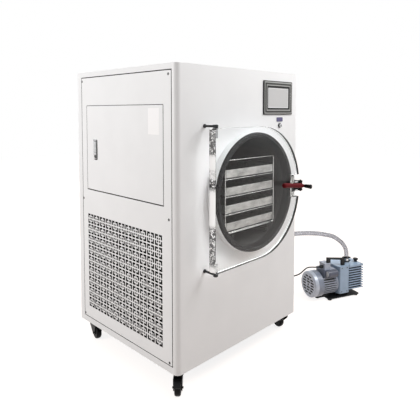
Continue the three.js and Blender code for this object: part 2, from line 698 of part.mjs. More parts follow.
function condenserFan() {
  const end = FAN_X + FAN_T + FAN_GAP - FIT;
  const hub = rod('x', 30, FAN_X, end, [0, 0]);
  const blades = [0, 1, 2, 3, 4].map((i) => {
    const blade = new THREE.BoxGeometry(3, 70, FAN_R - 24);
    blade.rotateZ(0.28);
    blade.translate(FAN_X + FAN_T / 2, 0, FAN_R / 2 + 9);
    blade.rotateX(2 * Math.PI * i / 5);
    return toSolid(blade);
  });
  const sweep = rod('x', FAN_R, FAN_X, end, [0, 0], 30);
  return joined([hub, ...blades]).intersect(sweep).translate([0, FAN_Y, FAN_Z]);
}

// Steel sheet hung from the casing's top, with rows of switchgear towards the access door.
function controlPlate() {
  const [y0, y1] = [ACCESS.y0 + CONTROL_INSET, ACCESS.y1 - CONTROL_INSET];
  const top = CASE_H - SHEET - FIT;
  const sheet = box(CONTROL_X, CONTROL_X + CONTROL_T, y0, y1, ACCESS.z0 + GEAR_LOW / 2, top);
  const flange = box(CONTROL_X - 20, CONTROL_X + CONTROL_T, y0, y1, top - 3, top);
  const rows = GEAR_D.map((depth, row) => {
    const z = ACCESS.z0 + GEAR_LOW + row * GEAR_PITCH;
    const end = y1 - GEAR_INSET - (GEAR_W + 2) * row;
    const gear = box(CONTROL_X - depth, CONTROL_X + 1, y0 + GEAR_INSET, end, z, z + GEAR_H);
    const gaps = [...Array(5).keys()].map((i) => {
      const y = y0 + GEAR_W + 2 + i * GEAR_W;
      return box(CONTROL_X - depth - 1, CONTROL_X - depth / 5, y, y + 4, z - 1, z + GEAR_H + 1);
    });
    return without(gear, gaps);
  });
  return joined([sheet, flange, ...rows]);
}

// --- Controls on the front ---

function hmiBezel() {
  const [x1, z1] = [HMI_X + HMI_W, HMI_Z + HMI_H];
  const s = HMI_STEP;
  const base = frontPlate(roundedRect(HMI_X, HMI_Z, x1, z1, 3, 1), -HMI_PROUD * 0.6, -FIT);
  const raised = frontPlate(roundedRect(HMI_X + s, HMI_Z + s, x1 - s, z1 - s, 3, 1), -HMI_PROUD, -1);
  const body = box(HMI_X + s, x1 - s, -1, HMI_BODY, HMI_Z + s, z1 - s);
  const o = screenPlace(0);
  const recess = box(o.x0, o.x1, -HMI_PROUD - 1, -HMI_PROUD + SCREEN_DEPTH, o.z0, o.z1);
  return joined([base, raised, body]).subtract(recess);
}

function screenPlace(inset) {
  const x0 = HMI_X + (HMI_W - SCREEN_W) / 2;
  const z1 = HMI_Z + HMI_H - SCREEN_FROM_TOP;
  return { x0: x0 + inset, x1: x0 + SCREEN_W - inset, z0: z1 - SCREEN_H + inset, z1: z1 - inset };
}

function hmiScreen() {
  const o = screenPlace(FIT);
  const back = -HMI_PROUD + SCREEN_DEPTH - FIT;
  return box(o.x0, o.x1, back - SCREEN_T, back, o.z0, o.z1);
}

function portCover() {
  const z1 = HMI_Z - PORT_BELOW;
  const shape = roundedRect(SIDE_X - PORT_W / 2, z1 - PORT_H, SIDE_X + PORT_W / 2, z1, 4);
  return frontPlate(shape, -PORT_T - FIT, -FIT);
}

function switchCollar() {
  return turned('y', [
    [0, 24], [0, 22], [KNOB_R + RUN, 22], [KNOB_R + RUN, -4], [SWITCH_R - 1, -4], [SWITCH_R, -3],
    [SWITCH_R, -FIT], [SWITCH_R - 2, -FIT], [SWITCH_R - 2, 24], [0, 24],
  ], [SIDE_X, SWITCH_Z], 16);
}

function switchKnob() {
  const knob = rod('y', KNOB_R, -KNOB_L, 21.5, [SIDE_X, SWITCH_Z], 24);
  return knob.subtract(box(SIDE_X - 1, SIDE_X + 1, -KNOB_L - 1, -KNOB_L + 3, SWITCH_Z - 6, SWITCH_Z + 6));
}

// --- Door ---

function doorOutline() {
  const [z0, z1, r] = [CHAMBER_Z - DOOR_R, CHAMBER_Z + DOOR_R, DOOR_CORNER_R];
  return outline([
    ...arc(CHAMBER_X, CHAMBER_Z, DOOR_R, -1, 1, 32), ...arc(DOOR_LEFT + r, z1 - r, r, 1, 2, 3),
    ...arc(DOOR_LEFT + r, z0 + r, r, 2, 3, 3),
  ]);
}

const LATCH_IN = DOOR_RIGHT - NOTCH_DEPTH; // the notch's inner end

function doorPlate() {
  const plate = frontPlate(doorOutline(), DOOR_FRONT, DOOR_BACK);
  const half = NOTCH_H / 2;
  const notch = box(LATCH_IN, DOOR_RIGHT + 1, DOOR_FRONT - 1, DOOR_BACK + 1, CHAMBER_Z - half, CHAMBER_Z + half);
  const bore = (a, b) => rod('z', HINGE_PIN_R + RUN, a, b, [HINGE_X, HINGE_Y]);
  return without(plate, [
    notch,
    bore(CHAMBER_Z + DOOR_R - HINGE_PIN_L - 1, CHAMBER_Z + DOOR_R + 1),
    bore(CHAMBER_Z - DOOR_R - 1, CHAMBER_Z - DOOR_R + HINGE_PIN_L + 1),
  ]);
}

// Stud and arm out of the front, an eye over the door's edge and a pin down into its bore.
function hingeBracket(up) {
  const edge = CHAMBER_Z + up * DOOR_R;
  const span = (a, b) => [Math.min(edge + up * a, edge + up * b), Math.max(edge + up * a, edge + up * b)];
  const [e0, e1] = span(EYE_GAP, EYE_GAP + EYE_H);
  const [p0, p1] = span(-HINGE_PIN_L, EYE_GAP + EYE_H + 3);
  const mid = (e0 + e1) / 2;
  return joined([
    rod('y', 2 * STUD_R, -6, -FIT, [HINGE_X, mid]),
    rod('y', STUD_R, HINGE_Y, -1, [HINGE_X, mid], 16),
    rod('z', EYE_R, e0, e1, [HINGE_X, HINGE_Y]),
    rod('z', HINGE_PIN_R, p0, p1, [HINGE_X, HINGE_Y], 16),
  ]).intersect(box(0, CASE_W, -200, 0, e0 - 100, e1 + 100));
}

// Block bolted into the notch, with two ears that hold the lever's pin.
function latchBase() {
  const half = LATCH_H / 2;
  const x1 = LATCH_X + 1;
  const block = box(LATCH_IN + FIT, x1, DOOR_FRONT - 6, DOOR_BACK - 4, CHAMBER_Z - half, CHAMBER_Z + half);
  const ear = (z) => sideRounded(z, z + LATCH_EAR);
  const pin = rod('z', LATCH_PIN_R, CHAMBER_Z - half - 4, CHAMBER_Z + half + 4, [LATCH_X, LATCH_Y], 16);
  const bolts = [-1, 1].map((s) => (
    rod('y', 4, LATCH_BAY - 3, LATCH_BAY + 2, [LATCH_IN + 12, CHAMBER_Z + s * (half - LATCH_EAR - 6)], 12)
  ));
  const bay = box(LATCH_IN - 1, LATCH_X + LATCH_HUB_R + 1, LATCH_Y - 30, LATCH_BAY, CHAMBER_Z - half + LATCH_EAR,
    CHAMBER_Z + half - LATCH_EAR);
  return joined([joined([block, ear(CHAMBER_Z - half), ear(CHAMBER_Z + half - LATCH_EAR)]).subtract(bay), pin, ...bolts]);
}

function sideRounded(z0, z1) {
  const [r, back] = [LATCH_HUB_R, LATCH_BAY + 6];
  return flatPlate(outline([
    [LATCH_X - r, back], ...arc(LATCH_X, LATCH_Y, r, 2, 4, 6), [LATCH_X + r, back],
  ]), z0, z1);
}

const HUB_HALF = LATCH_H / 2 - LATCH_EAR - 0.5;
const BOSS_FRONT = LATCH_Y - GRIP_OUT - 10;

function latchLever() {
  const hub = rod('z', LATCH_HUB_R - 1, CHAMBER_Z - HUB_HALF, CHAMBER_Z + HUB_HALF, [LATCH_X, LATCH_Y]);
  const boss = rod('y', KNOB_ROD_R, BOSS_FRONT, LATCH_Y, [LATCH_X, CHAMBER_Z], 20);
  const arm = tiltedBar(0, GRIP_START + GRIP_L - 8, 4);
  const bore = rod('z', LATCH_PIN_R + RUN, CHAMBER_Z - 40, CHAMBER_Z + 40, [LATCH_X, LATCH_Y], 16);
  return joined([hub, boss, arm]).subtract(bore);
}

// A round bar in front of the latch pin, towards the hinges and rising a little; a and b are distances from the pin.
function tiltedBar(a, b, r) {
  const bar = new THREE.CylinderGeometry(r, r, b - a, 20);
  bar.rotateZ(Math.PI / 2);
  bar.translate(-(a + b) / 2, 0, 0);
  bar.rotateY(GRIP_TILT);
  bar.translate(LATCH_X, LATCH_Y - GRIP_OUT, CHAMBER_Z);
  return toSolid(bar);
}

function latchGrip() {
  const sleeve = tiltedBar(GRIP_START, GRIP_START + GRIP_L, GRIP_R);
  return sleeve.subtract(tiltedBar(GRIP_START - 1, GRIP_START + GRIP_L - 7, 4 + FIT));
}

function latchKnob() {
  const start = BOSS_FRONT - FIT;
  const r = KNOB_ROD_R;
  return turned('y', [
    [0, start], [r - 1, start], [r, start - 2], [r, start - KNOB_ROD_L + 10], [r + 2, start - KNOB_ROD_L + 4],
    [r - 1, start - KNOB_ROD_L], [0, start - KNOB_ROD_L],
  ], [LATCH_X, CHAMBER_Z], 20);
}

function latchKeeper() {
  const x = LATCH_IN + 22;
  const foot = frontPlate(roundedRect(x - 20, CHAMBER_Z - 26, x + 20, CHAMBER_Z + 26, 4), -5, -FIT);
  const keepClear = rod('y', RING_R + FIT, -RING_T, 0, [CHAMBER_X, CHAMBER_Z], DRUM_SIDES);
  const post = box(x - 6, x + 12, DOOR_BACK - 3, -4, CHAMBER_Z - 14, CHAMBER_Z + 14);
  return foot.add(post).subtract(keepClear);
}

// --- Castor: local frame on the floor, swivel axis at the origin, wheel trailing towards +X ---

const FORK_SIDE = WHEEL_W / 2 + 2; // inside of a fork leg
const FORK_LEG = 3;
const FORK_TOP_Z = 2 * WHEEL_R + FORK_CLEAR;
const PEDAL = [TRAIL + 8, 2 * WHEEL_R + 4]; // pedal pivot, along X and up

function castorFork() {
  const side = FORK_SIDE + FORK_LEG;
  const head = rod('z', 24, FORK_TOP_Z, FORK_TOP_Z + FORK_TOP, [0, 0], 16);
  const crown = box(-18, TRAIL + 16, -side, side, FORK_TOP_Z - 1, FORK_TOP_Z + 2);
  const legs = [-1, 1].map((s) => {
    const shape = outline([
      [-18, FORK_TOP_Z + 1], [-16, FORK_TOP_Z - 12], [TRAIL - 10, WHEEL_R - 9],
      [TRAIL + 10, WHEEL_R - 9], [TRAIL + 16, FORK_TOP_Z - 6], [TRAIL + 16, FORK_TOP_Z + 1],
    ]);
    const y = s > 0 ? side : -FORK_SIDE;
    return frontPlate(shape, y - FORK_LEG, y);
  });
  const axle = rod('y', AXLE_R, -side - 4, side + 4, [TRAIL, WHEEL_R], 12);
  const hole = rod('y', 2.5 + RUN, -side - 1, side + 1, PEDAL, 8);
  return joined([head, crown, ...legs]).subtract(hole).add(axle);
}

function castorWheel() {
  const h = WHEEL_W / 2;
  const bore = AXLE_R + RUN;
  return turned('y', [
    [bore, h + 1.5], [bore, -h - 1.5], [10, -h - 1.5], [WHEEL_R - 4, -h],
    [WHEEL_R, -h + 5], [WHEEL_R, h - 5], [WHEEL_R - 4, h], [10, h + 1.5], [bore, h + 1.5],
  ], [TRAIL, WHEEL_R], 20);
}

function brakePedal() {
  const [x, z] = PEDAL;
  const shape = outline([
    [x - 4, z - 3.5], [x + 4, z - 3.5], [x + 12, z - 6], [x + 33, z - 16], [x + 35, z - 11], [x + 12, z],
    [x + 4, z + 2.5], [x - 4, z + 1.6],
  ]);
  const half = FORK_SIDE - 0.8;
  const pin = rod('y', 2.5, -FORK_SIDE - FORK_LEG, FORK_SIDE + FORK_LEG, PEDAL, 8);
  return frontPlate(shape, -half, half).add(pin);
}

// --- Vacuum pump, in its own frame ---

function pumpFanCover() {
  const r = COVER_R;
  const cup = turned('x', [
    [0, 0], [r - 6, 0], [r - 1.5, 2], [r, 6], [r, COVER_L], [r - 2, COVER_L], [r - 2, 7], [r - 7, 3], [0, 3], [0, 0],
  ].reverse(), [0, PUMP_AXIS], 24);
  const slots = [-3, -2, -1, 1, 2, 3].map((i) => {
    const z = PUMP_AXIS + i * 14;
    const half = Math.sqrt(52 ** 2 - (i * 14) ** 2);
    return box(-1, 4, -half, half, z - 2.5, z + 2.5);
  });
  return without(cup, slots);
}

function pumpMotor() {
  const seat = rod('x', COVER_R - 2 - FIT, COVER_L - 14, COVER_L - 1, [0, PUMP_AXIS], 24);
  const body = rod('x', MOTOR_R, COVER_L - 20, MOTOR_END, [0, PUMP_AXIS], 24);
  const fins = [-2, -1, 0, 1, 2].map((i) => {
    const z = PUMP_AXIS - 14 + i * FIN_PITCH;
    return box(COVER_L + 2, MOTOR_END - 16, -FIN_R, FIN_R, z - FIN_T / 2, z + FIN_T / 2);
  });
  const finned = joined(fins).intersect(rod('x', FIN_R, COVER_L, MOTOR_END, [0, PUMP_AXIS], 24));
  const bell = rod('x', FIN_R, MOTOR_END - 18, MOTOR_END, [0, PUMP_AXIS], 24, FIN_R - 4);
  const at = [-FIN_R + 8, PUMP_AXIS + FIN_R - 3];
  const capacitor = rod('x', CAPACITOR_R, COVER_L + 22, MOTOR_END - 12, at, 20);
  const saddle = box(COVER_L + 12, MOTOR_END - 14, at[0], 30, PUMP_AXIS + 40, TERMINAL_Z + 10);
  return joined([seat, body, finned, bell, capacitor, saddle]).subtract(terminalSeat());
}

// The flat that the terminal box sits on.
function terminalSeat() {
  return box(COVER_L, MOTOR_END, -60, 60, TERMINAL_Z - FIT, TERMINAL_Z + 60);
}

const TERMINAL_Z = PUMP_AXIS + FIN_R + 13;
const TERMINAL = { x0: COVER_L + 18, x1: COVER_L + 60, y0: -50, y1: 4, z1: TERMINAL_Z + 43 };

function pumpTerminalBox() {
  const t = TERMINAL;
  return sidePlate(roundedRect(t.y0, TERMINAL_Z, t.y1, t.z1, 5), t.x0, t.x1);
}

const GLAND_AT = [TERMINAL.y0 + 22, TERMINAL_Z + 21];
const GLAND_L = 24;

function leadGland() {
  const x = TERMINAL.x0 - FIT;
  const [r, l] = [GLAND_R, GLAND_L];
  return turned('x', [
    [0, x - l], [LEAD_R + 1.5, x - l], [r - 2, x - l + 6], [r, x - l + 7], [r, x], [0, x],
  ].reverse(), GLAND_AT, 16);
}

function pumpBlock() {
  const x0 = MOTOR_END + FIT;
  const shape = outline([
    [x0, -48], [x0 + 14, -BLOCK_HALF], [BLOCK_END, -BLOCK_HALF], [BLOCK_END, BLOCK_HALF],
    [x0 + 14, BLOCK_HALF], [x0, 48],
  ]);
  return flatPlate(shape, BLOCK_BOTTOM, BLOCK_TOP);
}

// Oil box with level fins round three sides and a flat lid.
function pumpOilBox() {
  const x0 = BLOCK_END + FIT;
  const out = OIL_FIN_OUT;
  const half = BLOCK_HALF + 3;
  const core = box(x0, OIL_END - out, -half + out, half - out, OIL_BOTTOM, OIL_TOP);
  const lid = box(x0, OIL_END, -half, half, OIL_TOP - 12, OIL_TOP);
  const pitch = (OIL_TOP - 12 - OIL_BOTTOM) / OIL_FINS;
  const fins = [...Array(OIL_FINS).keys()].map((i) => (
    box(x0, OIL_END + 5, -half, half, OIL_BOTTOM + i * pitch, OIL_BOTTOM + i * pitch + 5)
  ));
  return joined([core, lid, ...fins]);
}

function pumpHandle() {
  const [a, b] = [TERMINAL.x1 - HANDLE_POST, BLOCK_END - 20];
  const [low, high] = [BLOCK_TOP + FIT, TERMINAL.z1 + FIT];
  const top = high + HANDLE_RISE;
  const drop = 18;
  const shape = outline([
    [a, high], [a + HANDLE_POST, high], [a + HANDLE_POST, top - 12], [b - HANDLE_POST, top - drop - 8],
    [b - HANDLE_POST, low], [b, low], [b, top - drop], [a, top],
  ]);
  return frontPlate(shape, HANDLE_Y - HANDLE_W / 2, HANDLE_Y + HANDLE_W / 2);
}

function pumpBase() {
  const z1 = BASE_Z + BASE_T;
  const [m, e] = [COVER_L + BASE_FROM_COVER, OIL_END - BASE_FROM_END];
  const side = BASE_HALF - FOOT_IN;
  const plate = flatPlate(roundedRect(m, -BASE_HALF, e, BASE_HALF, 10), BASE_Z, z1);
  const tongue = flatPlate(roundedRect(COVER_L - 14, -24, m + 20, 24, 8), BASE_Z, z1);
  const ends = [m + FOOT_IN + 1, e - FOOT_IN];
  const feet = [[ends[0], -side], [ends[0], side], [ends[1], -side], [ends[1], side], [COVER_L + 4, 0]]
    .map((at) => rod('z', FOOT_R, 0, BASE_Z + 1, at, 12));
  const pedestal = box(MOTOR_END + 14, BLOCK_END, -50, 50, z1 - 1, BLOCK_BOTTOM - FIT);
  const cradle = box(COVER_L + 6, COVER_L + 26, -34, 34, z1 - 1, PUMP_AXIS - 40);
  const motor = rod('x', FIN_R + FIT, COVER_L, MOTOR_END, [0, PUMP_AXIS], 24);
  const cover = rod('x', COVER_R + FIT, 0, COVER_L + FIT, [0, PUMP_AXIS], 24);
  return joined([plate, tongue, ...feet, pedestal, cradle]).subtract(motor).subtract(cover);
}

const INLET_AT = [BLOCK_END + FIT + INLET_R + 9, -10];

// Flanged nipple with a clamp ring, on the oil box next to the pump block.
function pumpInlet() {
  const r = INLET_R;
  const z = (h) => -(OIL_TOP + FIT + h);
  return turned('z', [
    [0, z(0)], [r, z(0)], [r, z(7)], [r - 4, z(8)], [r - 4, z(13)], [r, z(14)], [r, z(22)], [r - 3, z(23)],
    [r - 3, z(INLET_H)], [0, z(INLET_H)],
  ].reverse(), INLET_AT, 16).mirror([0, 0, 1]);
}

function pumpExhaustCap() {
  const z = (h) => -(OIL_TOP + FIT + h);
  return turned('z', [
    [0, z(0)], [9, z(0)], [10, z(12)], [15, z(14)], [15, z(20)], [0, z(21)],
  ].reverse(), [OIL_END - 18, -20], 16).mirror([0, 0, 1]);
}

// --- Hose, lead and what they go into, on the cabinet's right side ---

const HOSE_PORT_X = CASE_W + FIT;
const NIPPLE_L = 32;

function hosePort() {
  return joined([
    rod('x', 26, HOSE_PORT_X, HOSE_PORT_X + 6, [TRAP_Y, PORT_Z], 24),
    rod('x', 18, HOSE_PORT_X + 5, HOSE_PORT_X + 12, [TRAP_Y, PORT_Z], 6),
    rod('x', 12, HOSE_PORT_X + 11, HOSE_PORT_X + NIPPLE_L, [TRAP_Y, PORT_Z], 20),
  ]);
}

// Where a point of the pump's frame lies on the floor plan.
function onFloor(x, y) {
  const [c, s] = [Math.cos(PUMP_TURN), Math.sin(PUMP_TURN)];
  return [PUMP_X + c * x - s * y, PUMP_Y + s * x + c * y];
}

function hoseRoute() {
  const z = CASTOR_H + PORT_Z;
  const start = HOSE_PORT_X + NIPPLE_L + FIT;
  const [x, y] = onFloor(...INLET_AT);
  const top = OIL_TOP + FIT + INLET_H + FIT;
  return [
    [start, TRAP_Y, z], [start + 25, TRAP_Y, z], [start + 60, TRAP_Y - 7, z + 2], [950, 256, z + 5],
    [1010, 219, z + 7], [1073, 185, z + 7], [1134, 157, z + 4], [1197, 127, z - 4], [1244, 104, z - 14],
    [1276, 88, z - 23], [1309, 73, z - 35], [1358, 49, z - 72], [1380, 39, z - 99], [x - 3, y + 2, top + 46],
    [x, y, top + 15], [x, y, top],
  ];
}

const PANEL_GLAND = [250, 60]; // on the right side panel: back from the front, up from the casing's bottom

function panelGland() {
  const [y, z] = PANEL_GLAND;
  return turned('x', [
    [0, CASE_W + FIT], [GLAND_R + 3, CASE_W + FIT], [GLAND_R + 3, CASE_W + 6], [GLAND_R, CASE_W + 8],
    [GLAND_R - 2, CASE_W + 16], [LEAD_R + 1.5, CASE_W + 22], [0, CASE_W + 22],
  ], [y, z], 16);
}

function leadRoute() {
  const [gx, gy] = onFloor(TERMINAL.x0 - FIT - GLAND_L - FIT, GLAND_AT[0]);
  const away = (d) => onFloor(TERMINAL.x0 - FIT - GLAND_L - FIT - d, GLAND_AT[0]);
  const z = GLAND_AT[1];
  const end = CASE_W + 22 + FIT;
  const low = CASTOR_H + PANEL_GLAND[1];
  return [
    [gx, gy, z], [...away(20), z + 1], [...away(48), z + 5], [...away(76), z + 7], [...away(92), z + 3],
    [...away(110), z - 8], [...away(130), z - 20], [...away(150), z - 26], [...away(190), z - 31],
    [950, 198, 152], [890, 228, low + 1], [end + 26, PANEL_GLAND[0], low], [end, PANEL_GLAND[0], low],
  ];
}

// --- Assembly ---

const PAINT = { color: 0xe9e9e6, roughness: 0.45, metalness: 0.1 };
const STEEL = { color: 0xc4c6c8, roughness: 0.3, metalness: 0.9 };
const DARK_STEEL = { color: 0x2b2c2e, roughness: 0.45, metalness: 0.6 };
const BLACK = { color: 0x1a1a1b, roughness: 0.5, metalness: 0 };
const RUBBER = { color: 0x2e2e2e, roughness: 0.6, metalness: 0 };
const CLEAR = { color: 0xf4f8f8, roughness: 0.03, metalness: 0, transparent: true, opacity: 0.3 };
const RED = { color: 0x8c1f27, roughness: 0.45, metalness: 0 };
const PUMP_GREY = { color: 0x8791a0, roughness: 0.45, metalness: 0.3 };
const PUMP_BLUE = { color: 0x93a4b4, roughness: 0.45, metalness: 0.3 };
const ALUMINIUM = { color: 0xb4b8bb, roughness: 0.5, metalness: 0.8 };
const SCREEN = { color: 0xcbcbcb, roughness: 0.25, metalness: 0 };
const BEZEL = { color: 0x4b4c4a, roughness: 0.4, metalness: 0 };
const VIOLET = { color: 0x6b6690, roughness: 0.4, metalness: 0 };

function add(group, name, solid, look) {
  const mesh = new THREE.Mesh(toGeometry(solid), new THREE.MeshStandardMaterial(look));
  mesh.name = name;
  group.add(mesh);
}

function cabinet() {
  const group = new THREE.Group();
  group.position.z = CASTOR_H;
  const panels = [
    ['base_frame', baseFrame(), DARK_STEEL], ['casing_shell', casingShell(), PAINT],
    ['left_side_panel', leftSidePanel(), PAINT], ['right_side_panel', rightSidePanel(), PAINT],
    ['rear_panel', rearPanel(), PAINT], ['access_door', accessDoor(), PAINT],
    ['lock_plate', lockPlate(), STEEL], ['lock_lever', lockLever(), STEEL], ['lock_button', lockButton(), BLACK],
    ['chamber', chamber(), STEEL], ['chamber_gasket', chamberGasket(), RUBBER],
    ['shelf_rack', shelfRack(), STEEL],
    ['cold_trap', coldTrap(), STEEL], ['compressor', compressor(), BLACK],
    ['condenser', condenser(), ALUMINIUM], ['fan_shroud', fanShroud(), DARK_STEEL],
    ['condenser_fan', condenserFan(), BLACK], ['control_plate', controlPlate(), ALUMINIUM],
    ['hmi_bezel', hmiBezel(), BEZEL], ['hmi_screen', hmiScreen(), SCREEN], ['port_cover', portCover(), VIOLET],
    ['switch_collar', switchCollar(), STEEL], ['switch_knob', switchKnob(), BLACK],
    ['door_plate', doorPlate(), CLEAR], ['hinge_bracket_top', hingeBracket(1), DARK_STEEL],
    ['hinge_bracket_bottom', hingeBracket(-1), DARK_STEEL], ['latch_base', latchBase(), BLACK],
    ['latch_lever', latchLever(), DARK_STEEL], ['latch_grip', latchGrip(), RED], ['latch_knob', latchKnob(), BLACK],
    ['latch_keeper', latchKeeper(), DARK_STEEL], ['hose_port', hosePort(), STEEL],
    ['panel_gland', panelGland(), BLACK],
  ];
  panels.forEach(([name, solid, look]) => add(group, name, solid, look));
  for (let i = 0; i < SHELVES; i += 1) add(group, `tray_${i + 1}`, tray(i), STEEL);
  return group;
}

const CASTOR_NAMES = ['front_left', 'front_right', 'rear_left', 'rear_right'];
const CASTOR_TURNS = [-136, 80, -100, -70].map((a) => a * Math.PI / 180); // which way each wheel trails

function castors() {
  const group = new THREE.Group();
  CASTOR_NAMES.forEach((name, i) => {
    const castor = new THREE.Group();
    castor.position.set(...CASTOR_PLACES[i], 0);
    castor.rotation.z = CASTOR_TURNS[i];
    add(castor, `castor_fork_${name}`, castorFork(), DARK_STEEL);
    add(castor, `castor_wheel_${name}`, castorWheel(), BLACK);
    if (i < 2) add(castor, `brake_pedal_${name}`, brakePedal(), BLACK);
    group.add(castor);
  });
  return group;
}

function pump() {
  const group = new THREE.Group();
  group.position.set(PUMP_X, PUMP_Y, 0);
  group.rotation.z = PUMP_TURN;
  add(group, 'pump_fan_cover', pumpFanCover(), PUMP_GREY);
  add(group, 'pump_motor', pumpMotor(), PUMP_GREY);
  add(group, 'pump_terminal_box', pumpTerminalBox(), PUMP_GREY);
  add(group, 'lead_gland', leadGland(), BLACK);
  add(group, 'pump_block', pumpBlock(), PUMP_BLUE);
  add(group, 'pump_oil_box', pumpOilBox(), PUMP_BLUE);
  add(group, 'pump_handle', pumpHandle(), BLACK);
  add(group, 'pump_base', pumpBase(), BLACK);
  add(group, 'pump_inlet', pumpInlet(), STEEL);
  add(group, 'pump_exhaust_cap', pumpExhaustCap(), BLACK);
  return group;
}

function hoseAndLead() {
  const group = new THREE.Group();
  add(group, 'vacuum_hose', tube(hoseRoute(), HOSE_R, 12, 24), CLEAR);
  add(group, 'pump_lead', tube(leadRoute(), LEAD_R, 8, 30), BLACK);
  return group;
}

// The origin goes to the middle of the box round everything but the hose and the lead, on the floor.
function centred(solidParts, loose) {
  const model = new THREE.Group();
  model.add(...solidParts);
  model.updateMatrixWorld(true);
  const box3 = new THREE.Box3().setFromObject(model, true);
  const centre = box3.getCenter(new THREE.Vector3());
  model.add(loose);
  model.position.set(-centre.x, -centre.y, -box3.min.z);
  model.updateMatrixWorld(true);
  return model;
}

export default centred([cabinet(), castors(), pump()], hoseAndLead());
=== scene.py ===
import json
import math

import bmesh
import bpy
from mathutils import Matrix, Vector

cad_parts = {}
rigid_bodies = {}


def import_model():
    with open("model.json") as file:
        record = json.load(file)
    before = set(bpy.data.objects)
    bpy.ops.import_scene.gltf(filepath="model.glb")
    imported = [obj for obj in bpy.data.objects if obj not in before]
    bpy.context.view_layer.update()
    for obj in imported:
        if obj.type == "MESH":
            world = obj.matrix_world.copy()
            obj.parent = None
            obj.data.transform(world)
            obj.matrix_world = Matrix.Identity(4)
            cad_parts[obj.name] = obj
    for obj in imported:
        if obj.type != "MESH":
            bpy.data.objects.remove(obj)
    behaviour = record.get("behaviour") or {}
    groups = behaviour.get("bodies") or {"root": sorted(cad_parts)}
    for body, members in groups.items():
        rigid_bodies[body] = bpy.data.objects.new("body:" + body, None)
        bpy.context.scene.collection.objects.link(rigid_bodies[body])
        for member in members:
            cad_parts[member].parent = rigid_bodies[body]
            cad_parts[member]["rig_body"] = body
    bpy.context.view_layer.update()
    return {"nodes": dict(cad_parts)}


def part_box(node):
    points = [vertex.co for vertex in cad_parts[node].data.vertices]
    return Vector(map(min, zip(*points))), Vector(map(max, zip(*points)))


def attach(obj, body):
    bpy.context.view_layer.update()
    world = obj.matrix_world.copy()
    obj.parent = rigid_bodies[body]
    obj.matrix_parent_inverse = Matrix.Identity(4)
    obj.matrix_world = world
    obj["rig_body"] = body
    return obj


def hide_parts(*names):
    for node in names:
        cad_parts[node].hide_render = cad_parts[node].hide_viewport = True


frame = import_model()
nodes = frame["nodes"]
scene = bpy.context.scene
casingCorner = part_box("casing_shell")[0]  # lower front left corner of the casing
floorCorner = Vector((casingCorner.x, casingCorner.y, 0))
# millimetres right, back and up, from that corner or from the floor under it
casingFrame = Matrix.Translation(casingCorner) @ Matrix.Scale(0.001, 4)
floorFrame = Matrix.Translation(floorCorner) @ Matrix.Scale(0.001, 4)
print("frame loaded:", len(nodes), "nodes")

# shader nodes


def feed(tree, node, sockets):
    # each socket takes another node's output or a plain value
    for label, value in sockets.items():
        if isinstance(value, bpy.types.NodeSocket):
            tree.links.new(value, node.inputs[label])
        else:
            node.inputs[label].default_value = value


def add(tree, kind, sockets=None, **settings):
    node = tree.nodes.new("ShaderNode" + kind)
    for label, value in settings.items():
        setattr(node, label, value)
    feed(tree, node, sockets or {})
    return node


def worked(tree, operation, *terms):
    return add(tree, "Math", dict(enumerate(terms)), operation=operation).outputs[0]


def mapped(tree, source, low, high):
    # 0 up to low, 1 from high on
    return add(tree, "MapRange", {"Value": source, "From Min": low, "From Max": high}).outputs["Result"]


def blended(tree, factor, first, second):
    return add(tree, "Mix", {"Factor": factor, "A": first, "B": second}, data_type="RGBA").outputs["Result"]


def noise(tree, where, scale, detail=2, distortion=0):
    sockets = {"Vector": where, "Scale": scale, "Detail": detail, "Distortion": distortion}
    return add(tree, "TexNoise", sockets).outputs["Fac"]


def newLook(name):
    look = bpy.data.materials.new(name)
    look.use_nodes = True
    return look, look.node_tree, look.node_tree.nodes["Principled BSDF"]


# camera, lamps and floor

camera = {"place": (-1092.2, -1246.8, 1016.3), "turn": 45.53, "down": 3.2, "lens": 38.2, "shift": -0.1746}
studio = {
    "room": 0.44,  # light from all round
    "lamps": {  # place from the casing's corner, size in metres, watts
        "lampFront": ((1500, -1500, 2500), 1.4, 50),
        "lampLeft": ((-2100, 1200, 1500), 1.4, 35),
        "lampTop": ((500, 200, 3600), 2.5, 18),
    },
    "aim": (400, 250, 800),
    "floor": (0.42, 0.34, 0.295), "reach": 9,  # half its width in metres
    "glow": 0.84,  # what the floor adds for the camera, so that it reads as white
    "dulled": 0.75,  # the share lost by light that reaches a dull face through something clear
}
white = (1, 1, 1, 1)


def addObject(name, data):
    made = bpy.data.objects.new(name, data)
    scene.collection.objects.link(made)
    return made


def setCamera():
    lens = bpy.data.cameras.new("roomCamera")
    lens.lens, lens.sensor_width, lens.shift_y = camera["lens"], 36, camera["shift"]
    holder = addObject("roomCamera", lens)
    holder.location = casingFrame @ Vector(camera["place"])
    holder.rotation_euler = (math.radians(90 - camera["down"]), 0, math.radians(-camera["turn"]))
    scene.camera = holder


def setLamps():
    for name, (place, size, power) in studio["lamps"].items():
        light = bpy.data.lights.new(name, "AREA")
        light.shape, light.size, light.energy = "SQUARE", size, power
        holder = addObject(name, light)
        holder.location = casingFrame @ Vector(place)
        towards = casingFrame @ Vector(studio["aim"]) - holder.location
        holder.rotation_euler = towards.to_track_quat("-Z", "Y").to_euler()


def seenDirectly(tree):
    # 1 for the camera and for mirrors and clear things, less where a dull face takes the light from those
    path = add(tree, "LightPath").outputs
    carried = worked(tree, "MAXIMUM", path["Is Glossy Ray"], path["Is Transmission Ray"])
    bounced = worked(tree, "MINIMUM", path["Diffuse Depth"], 1)
    less = worked(tree, "MULTIPLY_ADD", bounced, -studio["dulled"], 1)
    return worked(tree, "MAXIMUM", path["Is Camera Ray"], worked(tree, "MULTIPLY", carried, less))


def heldGlow(tree, strength):
    # a glow that is seen but lights nothing beside it
    return worked(tree, "MULTIPLY", seenDirectly(tree), strength)


